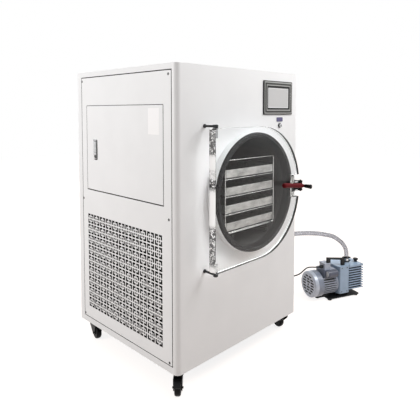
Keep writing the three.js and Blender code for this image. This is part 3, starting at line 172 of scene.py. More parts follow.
def setRoom():
    room = bpy.data.worlds.new("paleRoom")
    scene.world = room
    room.use_nodes = True
    tree = room.node_tree
    level = add(tree, "MapRange", {"Value": seenDirectly(tree), "To Min": studio["room"], "To Max": 1})
    feed(tree, tree.nodes["Background"], {"Color": white, "Strength": level.outputs["Result"]})


def setFloor():
    mesh = bpy.data.meshes.new("floor")
    r = studio["reach"]
    mesh.from_pydata([(-r, -r, 0), (r, -r, 0), (r, r, 0), (-r, r, 0)], [], [(0, 1, 2, 3)])
    look, tree, surface = newLook("paleFloor")
    feed(tree, surface, {
        "Base Color": (*studio["floor"], 1), "Roughness": 0.8, "Specular IOR Level": 0.1,
        "Emission Color": white, "Emission Strength": heldGlow(tree, studio["glow"]),
    })
    mesh.materials.append(look)
    addObject("floor", mesh)


setCamera()
setLamps()
setRoom()
setFloor()
scene.view_settings.view_transform = "Standard"
print("camera, lamps and floor set")

# finishes


def srgb(colour):
    linear = [c / 255 / 12.92 if c <= 10.31 else ((c / 255 + 0.055) / 1.055) ** 2.4 for c in colour]
    return (*linear, 1)


def effectGroup(name, inputs):
    # a group that gives a colour, a roughness and a height
    group = bpy.data.node_groups.new(name, "ShaderNodeTree")
    kinds = {1: "Float", 3: "Vector", 4: "Color"}
    for label, value in inputs.items():
        kind = "NodeSocket" + kinds[len(value) if isinstance(value, tuple) else 1]
        group.interface.new_socket(label, in_out="INPUT", socket_type=kind).default_value = value
    for label, kind in (("Colour", "Color"), ("Roughness", "Float"), ("Height", "Float")):
        group.interface.new_socket(label, in_out="OUTPUT", socket_type="NodeSocket" + kind)
    return group, group.nodes.new("NodeGroupInput").outputs, group.nodes.new("NodeGroupOutput")


def giveEffect(group, end, start, tone, relief):
    # the relief also spreads the roughness about its middle
    spread = worked(group, "SUBTRACT", relief, 0.5)
    rough = worked(group, "MULTIPLY_ADD", spread, start["Roughness spread"], start["Roughness"])
    feed(group, end, {"Colour": tone, "Roughness": rough, "Height": relief})
    return group


def makeGrain():
    # painted, moulded and cast faces: slow patches of tone and a fine grain
    group, start, end = effectGroup("surfaceGrain", {
        "Colour": white, "Patch colour": white, "Patch scale": 8, "Grain scale": 600,
        "Roughness": 0.5, "Roughness spread": 0.1,
    })
    where = add(group, "TexCoord").outputs["Object"]
    patches = mapped(group, noise(group, where, start["Patch scale"], 4), 0.32, 0.68)
    tone = blended(group, patches, start["Colour"], start["Patch colour"])
    return giveEffect(group, end, start, tone, noise(group, where, start["Grain scale"]))


def makeDrawn():
    # brushed and rolled metal: streaks along one direction over cloudy patches
    group, start, end = effectGroup("drawnMetal", {
        "Colour": white, "Streak colour": white, "Stretch": (8, 300, 300), "Cloud scale": 12,
        "Roughness": 0.3, "Roughness spread": 0.2,
    })
    where = add(group, "TexCoord").outputs["Object"]
    drawn = add(group, "Mapping", {"Vector": where, "Scale": start["Stretch"]}).outputs["Vector"]
    streaks = noise(group, drawn, 1, 3)
    shade = worked(group, "MULTIPLY", streaks, noise(group, where, start["Cloud scale"], 3))
    tone = blended(group, mapped(group, shade, 0.12, 0.4), start["Colour"], start["Streak colour"])
    return giveEffect(group, end, start, tone, streaks)


grainGroup, drawnGroup = makeGrain(), makeDrawn()


def finishOf(name, group, values, bump, metallic=0, coat=0, shine=0.5):
    look, tree, surface = newLook(name)
    effect = add(tree, "Group", values, node_tree=group).outputs
    relief = add(tree, "Bump", {"Strength": bump, "Distance": 0.0002, "Height": effect["Height"]})
    feed(tree, surface, {
        "Base Color": effect["Colour"], "Roughness": effect["Roughness"], "Normal": relief.outputs["Normal"],
        "Metallic": metallic, "Coat Weight": coat, "Coat Roughness": 0.15, "Specular IOR Level": shine,
    })
    return look


def painted(name, colour, patch, roughness, patchScale=8, grain=700, bump=0.1, **more):
    return finishOf(name, grainGroup, {
        "Colour": srgb(colour), "Patch colour": srgb(patch), "Patch scale": patchScale,
        "Grain scale": grain, "Roughness": roughness, "Roughness spread": 0.08,
    }, bump, **more)


def brushed(name, colour, streak, roughness, stretch=(8, 400, 400), cloud=12, spread=0.15, metallic=1,
            shine=0.5):
    return finishOf(name, drawnGroup, {
        "Colour": srgb(colour), "Streak colour": srgb(streak), "Stretch": stretch, "Cloud scale": cloud,
        "Roughness": roughness, "Roughness spread": spread,
    }, 0.08, metallic, shine=shine)


def clearPlastic(name, tint, edge, roughness, ior, scratch, solid=0.0, mirror=1.0, blend=0.25):
    # see-through, with painted shade: its colour turns darker where it is seen edge on; open to the lamps
    look, tree, surface = newLook(name)
    facing = add(tree, "LayerWeight", {"Blend": blend}).outputs["Facing"]
    values = {"Grain scale": scratch, "Roughness": roughness, "Roughness spread": roughness}
    effect = add(tree, "Group", values, node_tree=grainGroup)
    feed(tree, surface, {
        "Base Color": blended(tree, facing, srgb(tint), srgb(edge)), "Roughness": effect.outputs["Roughness"],
        "Transmission Weight": 1 - solid, "IOR": ior, "Specular Tint": (mirror, mirror, mirror, 1),
    })
    shadow = add(tree, "LightPath").outputs["Is Shadow Ray"]
    opened = add(tree, "BsdfTransparent").outputs[0]
    either = add(tree, "MixShader", {0: shadow, 1: surface.outputs[0], 2: opened})
    feed(tree, tree.nodes["Material Output"], {"Surface": either.outputs[0]})
    return look


# painted reflection: where the rim's painted dark line and bright band fall, and the strength of its painted
# glow
rimReflectionLine = {"front": -0.0783, "dark": 0.0265, "pale": 0.0285, "wander": 0.012, "glow": 0.42}  # metres back


def paintedRimReflection(name, pale, dark):
    # painted reflection: the polished rim seen through the door is painted bright, with a glow that lights
    # nothing, and with a painted dark line along its front
    look, tree, surface = newLook(name)
    where = add(tree, "TexCoord").outputs["Object"]
    depth = add(tree, "SeparateXYZ", {0: where}).outputs["Y"]
    wander = worked(tree, "MULTIPLY_ADD", noise(tree, where, 22), rimReflectionLine["wander"], depth)
    front = casingCorner.y + rimReflectionLine["front"]
    line = mapped(tree, wander, front + rimReflectionLine["dark"], front + rimReflectionLine["pale"])
    feed(tree, surface, {
        "Base Color": blended(tree, line, srgb(dark), srgb(pale)), "Roughness": 0.4, "Emission Color": white,
        "Emission Strength": worked(tree, "MULTIPLY", line, heldGlow(tree, rimReflectionLine["glow"])),
    })
    return look


def paintedEdgeReflections(name, pale, grey, low, high, stretches):
    # painted reflection and glow: the door's polished left edge is pale with a glow that lights nothing, and
    # has grey mottles, the images it reflects, painted in some stretches of its height
    look, tree, surface = newLook(name)
    where = add(tree, "TexCoord").outputs["Object"]
    height = mapped(tree, add(tree, "SeparateXYZ", {0: where}).outputs["Z"], low, high)
    share = add(tree, "ValToRGB", {"Fac": height})
    stops = share.color_ramp.elements
    for place, level in stretches:
        stops.new(place).color = (level, level, level, 1)
    stops.remove(stops[0])
    reflectedSpots = mapped(tree, noise(tree, where, 95, 5, 1.6), 0.38, 0.48)
    mask = worked(tree, "MULTIPLY", share.outputs["Color"], reflectedSpots)
    tone = blended(tree, mask, srgb(pale), srgb(grey))
    feed(tree, surface, {
        "Base Color": tone, "Roughness": 0.35,
        "Emission Color": tone, "Emission Strength": heldGlow(tree, 0.24),
    })
    return look


coated = {"grain": 1100, "bump": 0.15}
casingPowderCoat = painted("casingPowderCoat", (240, 241, 242), (237, 238, 239), 0.42, coat=0.15, **coated)
panelPowderCoat = painted("panelPowderCoat", (242, 243, 244), (239, 240, 241), 0.45, coat=0.1, **coated)
chassisPaint = painted("chassisPaint", (60, 61, 63), (52, 53, 55), 0.5, metallic=0.3)
blankLabel = painted("blankLabel", (255, 255, 255), (254, 254, 255), 0.5, grain=400, bump=0.05)
# painted shade: the black of the gaps round panels and doors and of the walls of openings; also the dark dust
# filter behind the grille
gapShadeAndFilterBlack = painted("gapShadeAndFilterBlack", (12, 12, 13), (17, 17, 18), 0.7, shine=0.1)
# painted shade: the chamber's stainless inside is given a dark grey for the shade within it
chamberSteelPaintedShade = brushed("chamberSteelPaintedShade", (76, 76, 75), (68, 68, 67), 0.7, (300, 12, 300), 6,
                           metallic=0.05, shine=0.1)
drumStainless = brushed("drumStainless", (176, 177, 178), (150, 151, 152), 0.38, (200, 10, 200), 6)
doorRubber = painted("doorRubber", (24, 24, 25), (30, 30, 31), 0.5, grain=500, bump=0.2, shine=0.2)
shelfStainless = brushed("shelfStainless", (196, 196, 194), (160, 160, 158), 0.32, stretch=(10, 300, 300))
trayStainless = brushed("trayStainless", (190, 189, 186), (146, 145, 143), 0.42, (14, 220, 60), 30, 0.25, 0.8)
rackWire = brushed("rackWire", (236, 236, 234), (206, 206, 204), 0.22, stretch=(60, 60, 60))
rackShade = brushed("rackShade", (44, 44, 43), (34, 34, 33), 0.6, metallic=0.1, shine=0.1)
# painted reflection and glow on the door's left edge
doorEdgeReflections = paintedEdgeReflections("doorEdgeReflections", (250, 250, 250), (26, 27, 28), 0.4753, 1.0433, [
    (0.03, 0), (0.07, 0.9), (0.31, 0.9), (0.34, 0), (0.55, 0), (0.57, 0.35), (0.6, 1), (0.64, 1),
    (0.66, 0.35), (0.71, 0.35), (0.73, 0), (0.8, 0), (0.83, 0.9), (0.99, 0.9)])
doorAcrylic = clearPlastic("doorAcrylic", (254, 255, 255), (246, 248, 248), 0.004, 1.3, 60, mirror=0.3)
# painted reflection and glow on the door's rim
doorRimReflection = paintedRimReflection("doorRimReflection", (250, 250, 250), (24, 24, 25))
hingeSteel = brushed("hingeSteel", (66, 67, 69), (40, 41, 43), 0.3, stretch=(80, 80, 300))
latchBlack = painted("latchBlack", (9, 9, 10), (14, 14, 15), 0.38, grain=900, shine=0.15)
latchSteel = brushed("latchSteel", (88, 89, 91), (60, 61, 62), 0.3)
gripRed = painted("gripRed", (104, 12, 22), (78, 9, 16), 0.6, 160, 300, 0.25, shine=0.12)
bezelGrey = painted("bezelGrey", (68, 69, 67), (62, 63, 61), 0.5, grain=1400, shine=0.25)
bezelLine = painted("bezelLine", (172, 173, 171), (160, 161, 159), 0.4, shine=0.3)
screenFace = painted("screenFace", (197, 197, 197), (193, 194, 195), 0.2, grain=60, bump=0, coat=0.4)
screenBorder = painted("screenBorder", (226, 227, 228), (220, 221, 222), 0.25)
portViolet = painted("portViolet", (84, 81, 118), (90, 87, 126), 0.4)
switchBlack = painted("switchBlack", (16, 16, 17), (22, 22, 23), 0.4, shine=0.3)
chrome = brushed("chrome", (214, 215, 216), (196, 197, 198), 0.1, spread=0.06, stretch=(90, 90, 90))
screwDark = brushed("screwDark", (84, 84, 84), (50, 50, 50), 0.35, stretch=(200, 200, 200))
forkBlack = painted("forkBlack", (7, 7, 8), (11, 11, 12), 0.35, shine=0.12)
wheelBlack = painted("wheelBlack", (6, 6, 7), (9, 9, 10), 0.4, grain=350, bump=0.2, shine=0.12)
wheelHub = painted("wheelHub", (20, 21, 22), (15, 16, 17), 0.4, shine=0.25)
pedalBlack = painted("pedalBlack", (8, 8, 9), (12, 12, 13), 0.42, shine=0.15)
castPaint = {"grain": 450, "bump": 0.3}
pumpGrey = painted("pumpGrey", (134, 142, 158), (118, 126, 143), 0.34, 30, 450, 0.35, coat=0.25)
pumpBright = painted("pumpBright", (192, 198, 210), (174, 181, 194), 0.3, 40, metallic=0.3, **castPaint)
boxGrey = painted("boxGrey", (184, 190, 204), (168, 175, 190), 0.36, 30, coat=0.2, **castPaint)
pumpFinGrey = painted("pumpFinGrey", (186, 192, 204), (166, 172, 185), 0.4, 40, **castPaint)
capGrey = painted("capGrey", (84, 88, 104), (66, 70, 86), 0.36, 40, 450, coat=0.2)
pumpBlue = painted("pumpBlue", (162, 183, 206), (148, 169, 192), 0.34, 24, coat=0.25, **castPaint)
pumpDark = painted("pumpDark", (13, 14, 16), (19, 20, 22), 0.5, grain=500, shine=0.3)
capWhite = painted("capWhite", (214, 216, 220), (196, 199, 204), 0.35)
# painted shade: the hose's colour turns dark grey where it is seen edge on
hoseClear = clearPlastic("hoseClear", (222, 223, 227), (84, 83, 90), 0.05, 1.22, 30, solid=0.1, blend=0.4)
leadBlack = painted("leadBlack", (11, 11, 12), (16, 16, 17), 0.5, grain=900, shine=0.2)
trapStainless = brushed("trapStainless", (184, 185, 186), (150, 151, 152), 0.35, stretch=(12, 300, 300))
compressorBlack = painted("compressorBlack", (24, 24, 26), (33, 33, 35), 0.3, coat=0.4)
finAluminium = brushed("finAluminium", (186, 189, 191), (150, 152, 154), 0.4, stretch=(300, 300, 8))
gearPlastic = painted("gearPlastic", (206, 207, 206), (194, 195, 194), 0.5)
fanBlack = painted("fanBlack", (28, 29, 30), (36, 37, 38), 0.5)
copperTube = brushed("copperTube", (176, 112, 82), (140, 84, 60), 0.35)
print("finishes made")

# mesh tools, in millimetres


def piece(name, source, look, body, slot, stands=(), place=casingFrame, bevel=0, steps=2, sharp=38, weld=1e-3,
          tint=None):
    bmesh.ops.remove_doubles(source, verts=source.verts, dist=weld)
    bmesh.ops.recalc_face_normals(source, faces=source.faces)
    if bevel:
        turn = math.radians(40)
        edges = [e for e in source.edges if len(e.link_faces) == 2 and e.calc_face_angle(0) > turn]
        bmesh.ops.bevel(source, geom=edges, offset=bevel, segments=steps, profile=0.5, affect="EDGES",
                        clamp_overlap=True)
    if tint:  # gives a face another of the looks, by its middle and its normal
        source.normal_update()
        for face in source.faces:
            face.material_index = tint(face.calc_center_median(), face.normal, face.material_index)
    mesh = bpy.data.meshes.new(name)
    source.to_mesh(mesh)
    source.free()
    mesh.transform(place)
    for one in look if isinstance(look, list) else [look]:
        mesh.materials.append(one)
    mesh.polygons.foreach_set("use_smooth", [True] * len(mesh.polygons))
    mesh.set_sharp_from_angle(angle=math.radians(sharp))
    made = addObject(name, mesh)
    made.modifiers.new("flatFaces", "WEIGHTED_NORMAL").keep_sharp = True
    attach(made, body)
    if stands:
        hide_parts(*stands)
    return made


def dressed(node, source, look, slot, **more):
    # stands for one node, on its body
    return piece(node + "_dressed", source, look, nodes[node]["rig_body"], slot, (node,), **more)


def softened(node, look, slot, bevel, place=casingFrame, **more):
    # the node's own form with its edges rounded
    source = bmesh.new()
    source.from_mesh(nodes[node].data)
    source.transform(place.inverted())
    bmesh.ops.remove_doubles(source, verts=source.verts, dist=1e-2)
    bmesh.ops.dissolve_limit(source, angle_limit=math.radians(0.8), verts=source.verts, edges=source.edges)
    for face in source.faces:
        face.material_index = 0
    return dressed(node, source, look, slot, place=place, bevel=bevel, **more)


def angles(count, turn=math.tau):
    return [turn * i / count for i in range(count)]


def quarter(steps):
    return angles(steps, math.pi / 2) + [math.pi / 2]


def circle(x, y, r, count):
    return [(x + r * math.cos(a), y + r * math.sin(a)) for a in angles(count)]


def arcPoints(x, y, r, start, end, steps):
    # from one angle to another in quarter turns
    turns = [(start + (end - start) * i / steps) * math.pi / 2 for i in range(steps + 1)]
    return [(x + r * math.cos(a), y + r * math.sin(a)) for a in turns]


def rounded(x0, y0, x1, y1, r, steps=6):
    return (arcPoints(x1 - r, y0 + r, r, -1, 0, steps) + arcPoints(x1 - r, y1 - r, r, 0, 1, steps)
            + arcPoints(x0 + r, y1 - r, r, 1, 2, steps) + arcPoints(x0 + r, y0 + r, r, 2, 3, steps))


def rectangle(x0, x1, y0, y1, by=0):
    # grown by so much on every side
    return [(x0 - by, y0 - by), (x1 + by, y0 - by), (x1 + by, y1 + by), (x0 - by, y1 + by)]


def spun(degrees, axis, place=(0, 0, 0)):
    # a frame at the place, turned about that axis
    return Matrix.Translation(place) @ Matrix.Rotation(math.radians(degrees), 4, axis)


def axisFrame(axis, centre):
    turns = {"x": (90, "Y"), "y": (-90, "X"), "z": (0, "Z")}
    return spun(*turns[axis], centre)


def lathe(mesh, profile, axis="z", centre=(0, 0, 0), segments=48, index=0, place=None):
    place = place or axisFrame(axis, centre)
    rings = []
    for radius, along in profile:
        around = circle(0, 0, radius, segments if radius > 1e-4 else 1)
        rings.append([mesh.verts.new(place @ Vector((x, y, along))) for x, y in around])
    for low, high in zip(rings, rings[1:]):
        for i in range(segments):
            j = (i + 1) % segments
            corners = [low[i % len(low)], low[j % len(low)], high[j % len(high)], high[i % len(high)]]
            corners = list(dict.fromkeys(corners))
            if len(corners) > 2:
                mesh.faces.new(corners).material_index = index


def chamfered(r, low, high, cut):
    # the profile of a pin with its ends broken
    return [(0, low), (r - cut, low), (r, low + cut), (r, high - cut), (r - cut, high), (0, high)]


def cuboid(mesh, place, size, index=0):
    made = bmesh.ops.create_cube(mesh, size=1)
    bmesh.ops.transform(mesh, matrix=place @ Matrix.Diagonal((*size, 1)), verts=made["verts"])
    for face in {f for v in made["verts"] for f in v.link_faces}:
        face.material_index = index


def block(mesh, x0, x1, y0, y1, z0, z1, index=0):
    middle = Matrix.Translation(((x0 + x1) / 2, (y0 + y1) / 2, (z0 + z1) / 2))
    cuboid(mesh, middle, (x1 - x0, y1 - y0, z1 - z0), index)


plateTurns = {
    "x": Matrix(((0, 0, 1, 0), (1, 0, 0, 0), (0, 1, 0, 0), (0, 0, 0, 1))),
    "y": Matrix(((1, 0, 0, 0), (0, 0, -1, 0), (0, 1, 0, 0), (0, 0, 0, 1))),
}


def plate(mesh, outlines, low, high, axis, edge=0.3, index=0):
    # a flat plate from its outline and its holes, with rounded edges
    curve = bpy.data.curves.new("plateOutline", "CURVE")
    curve.dimensions, curve.fill_mode = "2D", "BOTH"
    curve.extrude = (high - low) / 2 - edge
    curve.bevel_depth, curve.offset, curve.bevel_resolution = edge, -edge, 1
    for outline in outlines:
        spline = curve.splines.new("POLY")
        spline.points.add(len(outline) - 1)
        for point, (x, y) in zip(spline.points, outline):
            point.co = (x, y, 0, 1)
        spline.use_cyclic_u = True
    holder = addObject("plateOutline", curve)
    solid = bpy.data.meshes.new_from_object(holder.evaluated_get(bpy.context.evaluated_depsgraph_get()))
    spot = [(high + low) / 2 if letter == axis else 0 for letter in "xyz"]
    solid.transform(Matrix.Translation(spot) @ plateTurns[axis])
    before = len(mesh.faces)
    mesh.from_mesh(solid)
    mesh.faces.ensure_lookup_table()
    for face in mesh.faces[before:]:
        face.material_index = index
    bpy.data.objects.remove(holder)
    bpy.data.curves.remove(curve)
    bpy.data.meshes.remove(solid)


def joined(mesh, low, high, index=0, shift=0):
    # faces between two rings of one count
    count = len(low)
    for i in range(count):
        j = (i + 1) % count
        corners = (low[i], low[j], high[(j + shift) % count], high[(i + shift) % count])
        mesh.faces.new(corners).material_index = index


def closedEnds(mesh, rings, index=0):
    for ring in (rings[0], rings[-1]):
        mesh.faces.new(ring).material_index = index


def sweep(mesh, points, radius, sides=12, closed=False, index=0, ends=True):
    # a round bar or wire along the points
    points = [Vector(p) for p in points]
    normal = None
    rings = []
    for i, here in enumerate(points):
        back = points[i - 1] if closed or i else here
        ahead = points[(i + 1) % len(points)] if closed or i < len(points) - 1 else here
        along = (ahead - back).normalized()
        if normal is None:
            normal = along.orthogonal().normalized()
        normal = (normal - along * normal.dot(along)).normalized()
        across = along.cross(normal)
        rings.append([mesh.verts.new(here + x * normal + y * across) for x, y in circle(0, 0, radius, sides)])
    for low, high in zip(rings, rings[1:]):
        joined(mesh, low, high, index)
    if closed:  # the last ring may be turned against the first
        shift = min(range(sides), key=lambda s: (rings[-1][0].co - rings[0][s].co).length)
        joined(mesh, rings[-1], rings[0], index, shift)
    elif ends:
        closedEnds(mesh, rings, index)
    return rings


def screwHead(mesh, place, radius, height, index=0, hole=1):
    # a low pan head with a cross in it, standing along the place's z
    profile = [(0, 1), (0.55, 0.96), (0.9, 0.6), (1, 0), (0, 0)]
    lathe(mesh, [(radius * out, height * up) for out, up in profile], segments=20, index=index, place=place)
    for turn in (0, math.pi / 2):
        spot = place @ Matrix.Rotation(turn + 0.4, 4, "Z") @ Matrix.Translation((0, 0, height * 0.8))
        cuboid(mesh, spot, (radius * 1.1, radius * 0.22, height * 0.6), hole)


def onSpan(a, b, low, high, t):
    # the point at t on the line that has a at low and b at high
    return a * ((high - t) / (high - low)) + b * ((t - low) / (high - low))


def smoothRoute(points, count):
    # the points of one even curve through the route
    route = [Vector(p) for p in points]
    route = [2 * route[0] - route[1]] + route + [2 * route[-1] - route[-2]]
    fine = []
    for span in zip(route, route[1:], route[2:], route[3:]):
        times = [0]
        for a, b in zip(span, span[1:]):
            times.append(times[-1] + (b - a).length ** 0.5)
        t0, t1, t2, t3 = times
        for step in range(16):
            t = t1 + (t2 - t1) * step / 16
            a1, a2, a3 = [onSpan(*each, t) for each in zip(span, span[1:], times, times[1:])]
            fine.append(onSpan(onSpan(a1, a2, t0, t2, t), onSpan(a2, a3, t1, t3, t), t1, t2, t))
    fine.append(route[-2])
    lengths = [0]
    for a, b in zip(fine, fine[1:]):
        lengths.append(lengths[-1] + (b - a).length)
    even, at = [], 0
    for i in range(count):
        want = lengths[-1] * i / (count - 1)
        while at < len(fine) - 2 and lengths[at + 1] < want:
            at += 1
        share = (want - lengths[at]) / (lengths[at + 1] - lengths[at])
        even.append(fine[at].lerp(fine[at + 1], min(max(share, 0), 1)))
    return even, lengths[-1]


# the hose and the lead

pumpFrame = floorFrame @ spun(-22.5, "Z", (1150, 144, 0))
pumpAxis = 91  # its height over the floor
hose = {
    "radius": 13, "bore": 9.5, "sides": 28,
    "route": [  # metres from the casing's corner on the floor
        (0.8326, 0.3, 0.3933), (0.8576, 0.3, 0.3933), (0.8926, 0.293, 0.3953), (0.95, 0.256, 0.3983),
        (1.01, 0.219, 0.4003), (1.073, 0.185, 0.4003), (1.134, 0.157, 0.3973), (1.197, 0.127, 0.3893),
        (1.244, 0.104, 0.3793), (1.276, 0.088, 0.3703), (1.309, 0.073, 0.3583), (1.358, 0.049, 0.3213),
        (1.38, 0.039, 0.2943), (1.3929, 0.0333, 0.2666), (1.3959, 0.0313, 0.2356), (1.3959, 0.0313, 0.2206),
    ],
}
lead = {
    "radius": 3.5,
    "away": [  # out of the pump, up
        (0, 0), (20, 1), (48, 5), (76, 7), (92, 3), (110, -8), (130, -20), (150, -26), (190, -31),
    ],
    "gland": (55.4, -28, 197),  # where it leaves the pump, in the pump's frame
    "rest": [(0.95, 0.198, 0.152), (0.89, 0.228, 0.1513), (0.8483, 0.25, 0.1503), (0.8223, 0.25, 0.1503)],
}


def makeHose():
    route, length = smoothRoute([floorCorner + Vector(p) for p in hose["route"]], 40)
    mesh = bmesh.new()
    outer, inner = [sweep(mesh, route, hose[r] / 1000, hose["sides"], ends=False) for r in ("radius", "bore")]
    for end in (0, -1):
        joined(mesh, outer[end], inner[end])
    inPlace = Matrix.Identity(4)
    made = dressed("vacuum_hose", mesh, hoseClear, "clear_hose", place=inPlace, sharp=60, weld=1e-6)
    return length


def makeLead():
    x, y, z = lead["gland"]
    first = [pumpFrame @ Vector((x - away, y, z + up)) for away, up in lead["away"]]
    route, length = smoothRoute(first + [floorCorner + Vector(p) for p in lead["rest"]], 36)
    curve = bpy.data.curves.new("pump_lead_dressed", "CURVE")
    curve.dimensions, curve.bevel_depth, curve.bevel_resolution = "3D", lead["radius"] / 1000, 4
    curve.resolution_u, curve.use_fill_caps = 6, True
    spline = curve.splines.new("BEZIER")
    spline.bezier_points.add(len(route) - 1)
    for point, spot in zip(spline.bezier_points, route):
        point.co = spot
        point.handle_left_type = point.handle_right_type = "AUTO"
    curve.materials.append(leadBlack)
    made = addObject("pump_lead_dressed", curve)
    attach(made, "cabinet")
    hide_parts("pump_lead")
    return length


print("hose %.3f m, lead %.3f m" % (makeHose(), makeLead()))

# cabinet casing and panels

casing = {
    "width": 800, "depth": 715, "edge": 0.7,
    "opening": (26, 683, 27, 1177),  # side openings: front, back, bottom, top
    "panelOut": 0.2, "panelIn": 1.7, "panelGap": 3,
    "access": (79, 637, 654, 1043), "accessGap": 2.5,
    "accessShadeLap": (8, 12),  # how far the dark sheet of painted shade behind that gap reaches out and in
    "screwRows": (38, 603, 1159), "screwColumns": (46, 676), "screw": 5.5,
    "rearScrews": (48, 400, 752), "rearInset": 35,
    "label": (102, 927, 171, 1031),
    "slots": (12, 24, 82, 8), "sideSlots": (403, 623), "rearSlots": (152, 648),
    "hoseHole": (300, 303, 17),
}
grille = {
    "pitch": 50.5, "columns": 11, "rows": 9, "front": 85, "bottom": 82,
    "ring": (22.6, 14.2),  # outer and inner half width of the broken square
    "bridge": 2.8,  # half width of the metal that crosses it
    "dot": (2.2, 9.8),  # each small square, from and to the middle of the cell
    "filter": (2.6, 4.2), "filterLap": 6,  # the dark dust filter behind it
}
lock = {
    # the slit and the seat are dark pieces of painted shade, at the plate's right and behind it
    "face": -2.45, "shadeSlit": (552.6, 802, 558.4, 887), "seat": (548.4, 794.4, 578, 889),
    "marks": ((566, 811.5, 7.4), (558.5, 803, 5), (574, 884, 2.6)),
    "button": [(0, -2.8), (3.9, -2.75), (4.7, -2.4), (5, -1.9), (5, 1.6), (0, 1.6)],
}


def openHere(y, z):
    # whether a point of one cell, from its middle, is cut out
    reach = max(abs(y), abs(z))
    outer, inner = grille["ring"]
    if inner < reach < outer:
        return min(abs(y), abs(z)) > grille["bridge"]
    near, far = grille["dot"]
    return near < abs(y) < far and near < abs(z) < far


def grilleCell(mesh, y, z, lines, cells):
    # one cell's metal, with the walls of its openings
    out, inside = casing["panelOut"], casing["panelIn"]
    corners = {}

    def corner(i, j, x):
        if (i, j, x) not in corners:
            corners[i, j, x] = mesh.verts.new((x, y + lines[i], z + lines[j]))
        return corners[i, j, x]

    for (i, j), cut in cells.items():
        if cut:
            continue
        square = ((i, j), (i + 1, j), (i + 1, j + 1), (i, j + 1))
        for x in (out, inside):
            mesh.faces.new([corner(a, b, x) for a, b in square])
        beside = ((i, j - 1), (i + 1, j), (i, j + 1), (i - 1, j))
        for start, end, other in zip(square, square[1:] + square[:1], beside):
            if cells.get(other):
                wall = [corner(*start, out), corner(*end, out), corner(*end, inside), corner(*start, inside)]
                mesh.faces.new(wall)


def grilleSheet(mesh):
    widths = (grille["pitch"] / 2, *grille["ring"], grille["bridge"], *grille["dot"])
    lines = sorted({side * width for side in (-1, 1) for width in widths})
    middles = list(enumerate((a + b) / 2 for a, b in zip(lines, lines[1:])))
    cells = {(i, j): openHere(y, z) for i, y in middles for j, z in middles}
    for column in range(grille["columns"]):
        for row in range(grille["rows"]):
            y = grille["front"] + (column + 0.5) * grille["pitch"]
            z = grille["bottom"] + (row + 0.5) * grille["pitch"]
            grilleCell(mesh, y, z, lines, cells)


def panelScrews(name, places, turn, height):
    mesh = bmesh.new()
    for place in places:
        screwHead(mesh, spun(*turn, place), casing["screw"], height)
    piece(name, mesh, [screwDark, switchBlack], "cabinet", "chrome_trim")


def sideScrews(name, x, outward):
    places = [(x, y, z) for y in casing["screwColumns"] for z in casing["screwRows"]]
    panelScrews(name, places, (90 * outward, "Y"), 1.6)


def louvres(low, high):
    # a column of outlet slots
    count, pitch, bottom, height = casing["slots"]
    return [rounded(low, z, high, z + height, 3.9, 4) for z in (bottom + pitch * i for i in range(count))]


def gapWallShade(middle, normal, index):
    # painted shade: the walls and the bottom of the gap round a panel let into a side take the black look
    front, back, bottom, top = casing["opening"]
    inside = front - 2 < middle.y < back + 2 and bottom - 2 < middle.z < top + 2
    deep = min(middle.x, casing["width"] - middle.x)
    return 1 if inside and deep < 2.6 and (deep > 1.5 or abs(normal.x) < 0.8) else index


# painted shade: the side walls of a panel's edges and openings take the black look
def edgeWallShade(middle, normal, index):
    return 1 if abs(normal.x) < 0.5 else index


def dressCasing():
    looks = [casingPowderCoat, gapShadeAndFilterBlack]
    softened("casing_shell", looks, "casing_paint", casing["edge"], steps=3, tint=gapWallShade)
    softened("base_frame", chassisPaint, "chassis_steel", 0.8)
    front, back, bottom, top = casing["opening"]
    gap, x0, x1 = casing["panelGap"], casing["panelOut"], casing["panelIn"]
    y0, y1, z0, z1 = casing["access"]
    by = casing["accessGap"]
    punched = (grille["front"], grille["front"] + grille["columns"] * grille["pitch"],
               grille["bottom"], grille["bottom"] + grille["rows"] * grille["pitch"])
    mesh = bmesh.new()
    plate(mesh, [
        rectangle(front + gap + 1, back - gap, bottom + gap, top - gap - 1),
        rounded(y0 - by - 0.8, z0 - by - 2.2, y1 + by, z1 + by, 2, 2),
        rectangle(*punched),
    ], x0, x1, "x", 0)
    grilleSheet(mesh)
    near, far = grille["filter"]
    lapOut, lapIn = casing["accessShadeLap"]
    filterEdge = rectangle(*punched, grille["filterLap"])
    accessShadeSheet = [rectangle(y0, y1, z0, z1, by + lapOut), rectangle(y0, y1, z0, z1, by - lapIn)]
    # painted shade: a dark sheet behind the access door's gap
    plate(mesh, accessShadeSheet, x1 - 0.1, x1 + 1.8, "x", 0, 1)
    plate(mesh, [filterEdge], near, far, "x", 0, 1)
    plate(mesh, [filterEdge, rectangle(*punched)], x1 - 0.1, near, "x", 0, 1)
    dressed("left_side_panel", mesh, [panelPowderCoat, gapShadeAndFilterBlack], "casing_paint", tint=edgeWallShade)
    sideScrews("left_side_screws", x0, -1)
    softened("access_door", [panelPowderCoat, gapShadeAndFilterBlack], "casing_paint", 0.3, tint=edgeWallShade)
    label = bmesh.new()
    plate(label, [rounded(*casing["label"], 2, 3)], x0 - 0.25, x0, "x", edge=0.05)
    piece("access_door_blank_label", label, blankLabel, "service_door", "casing_paint")


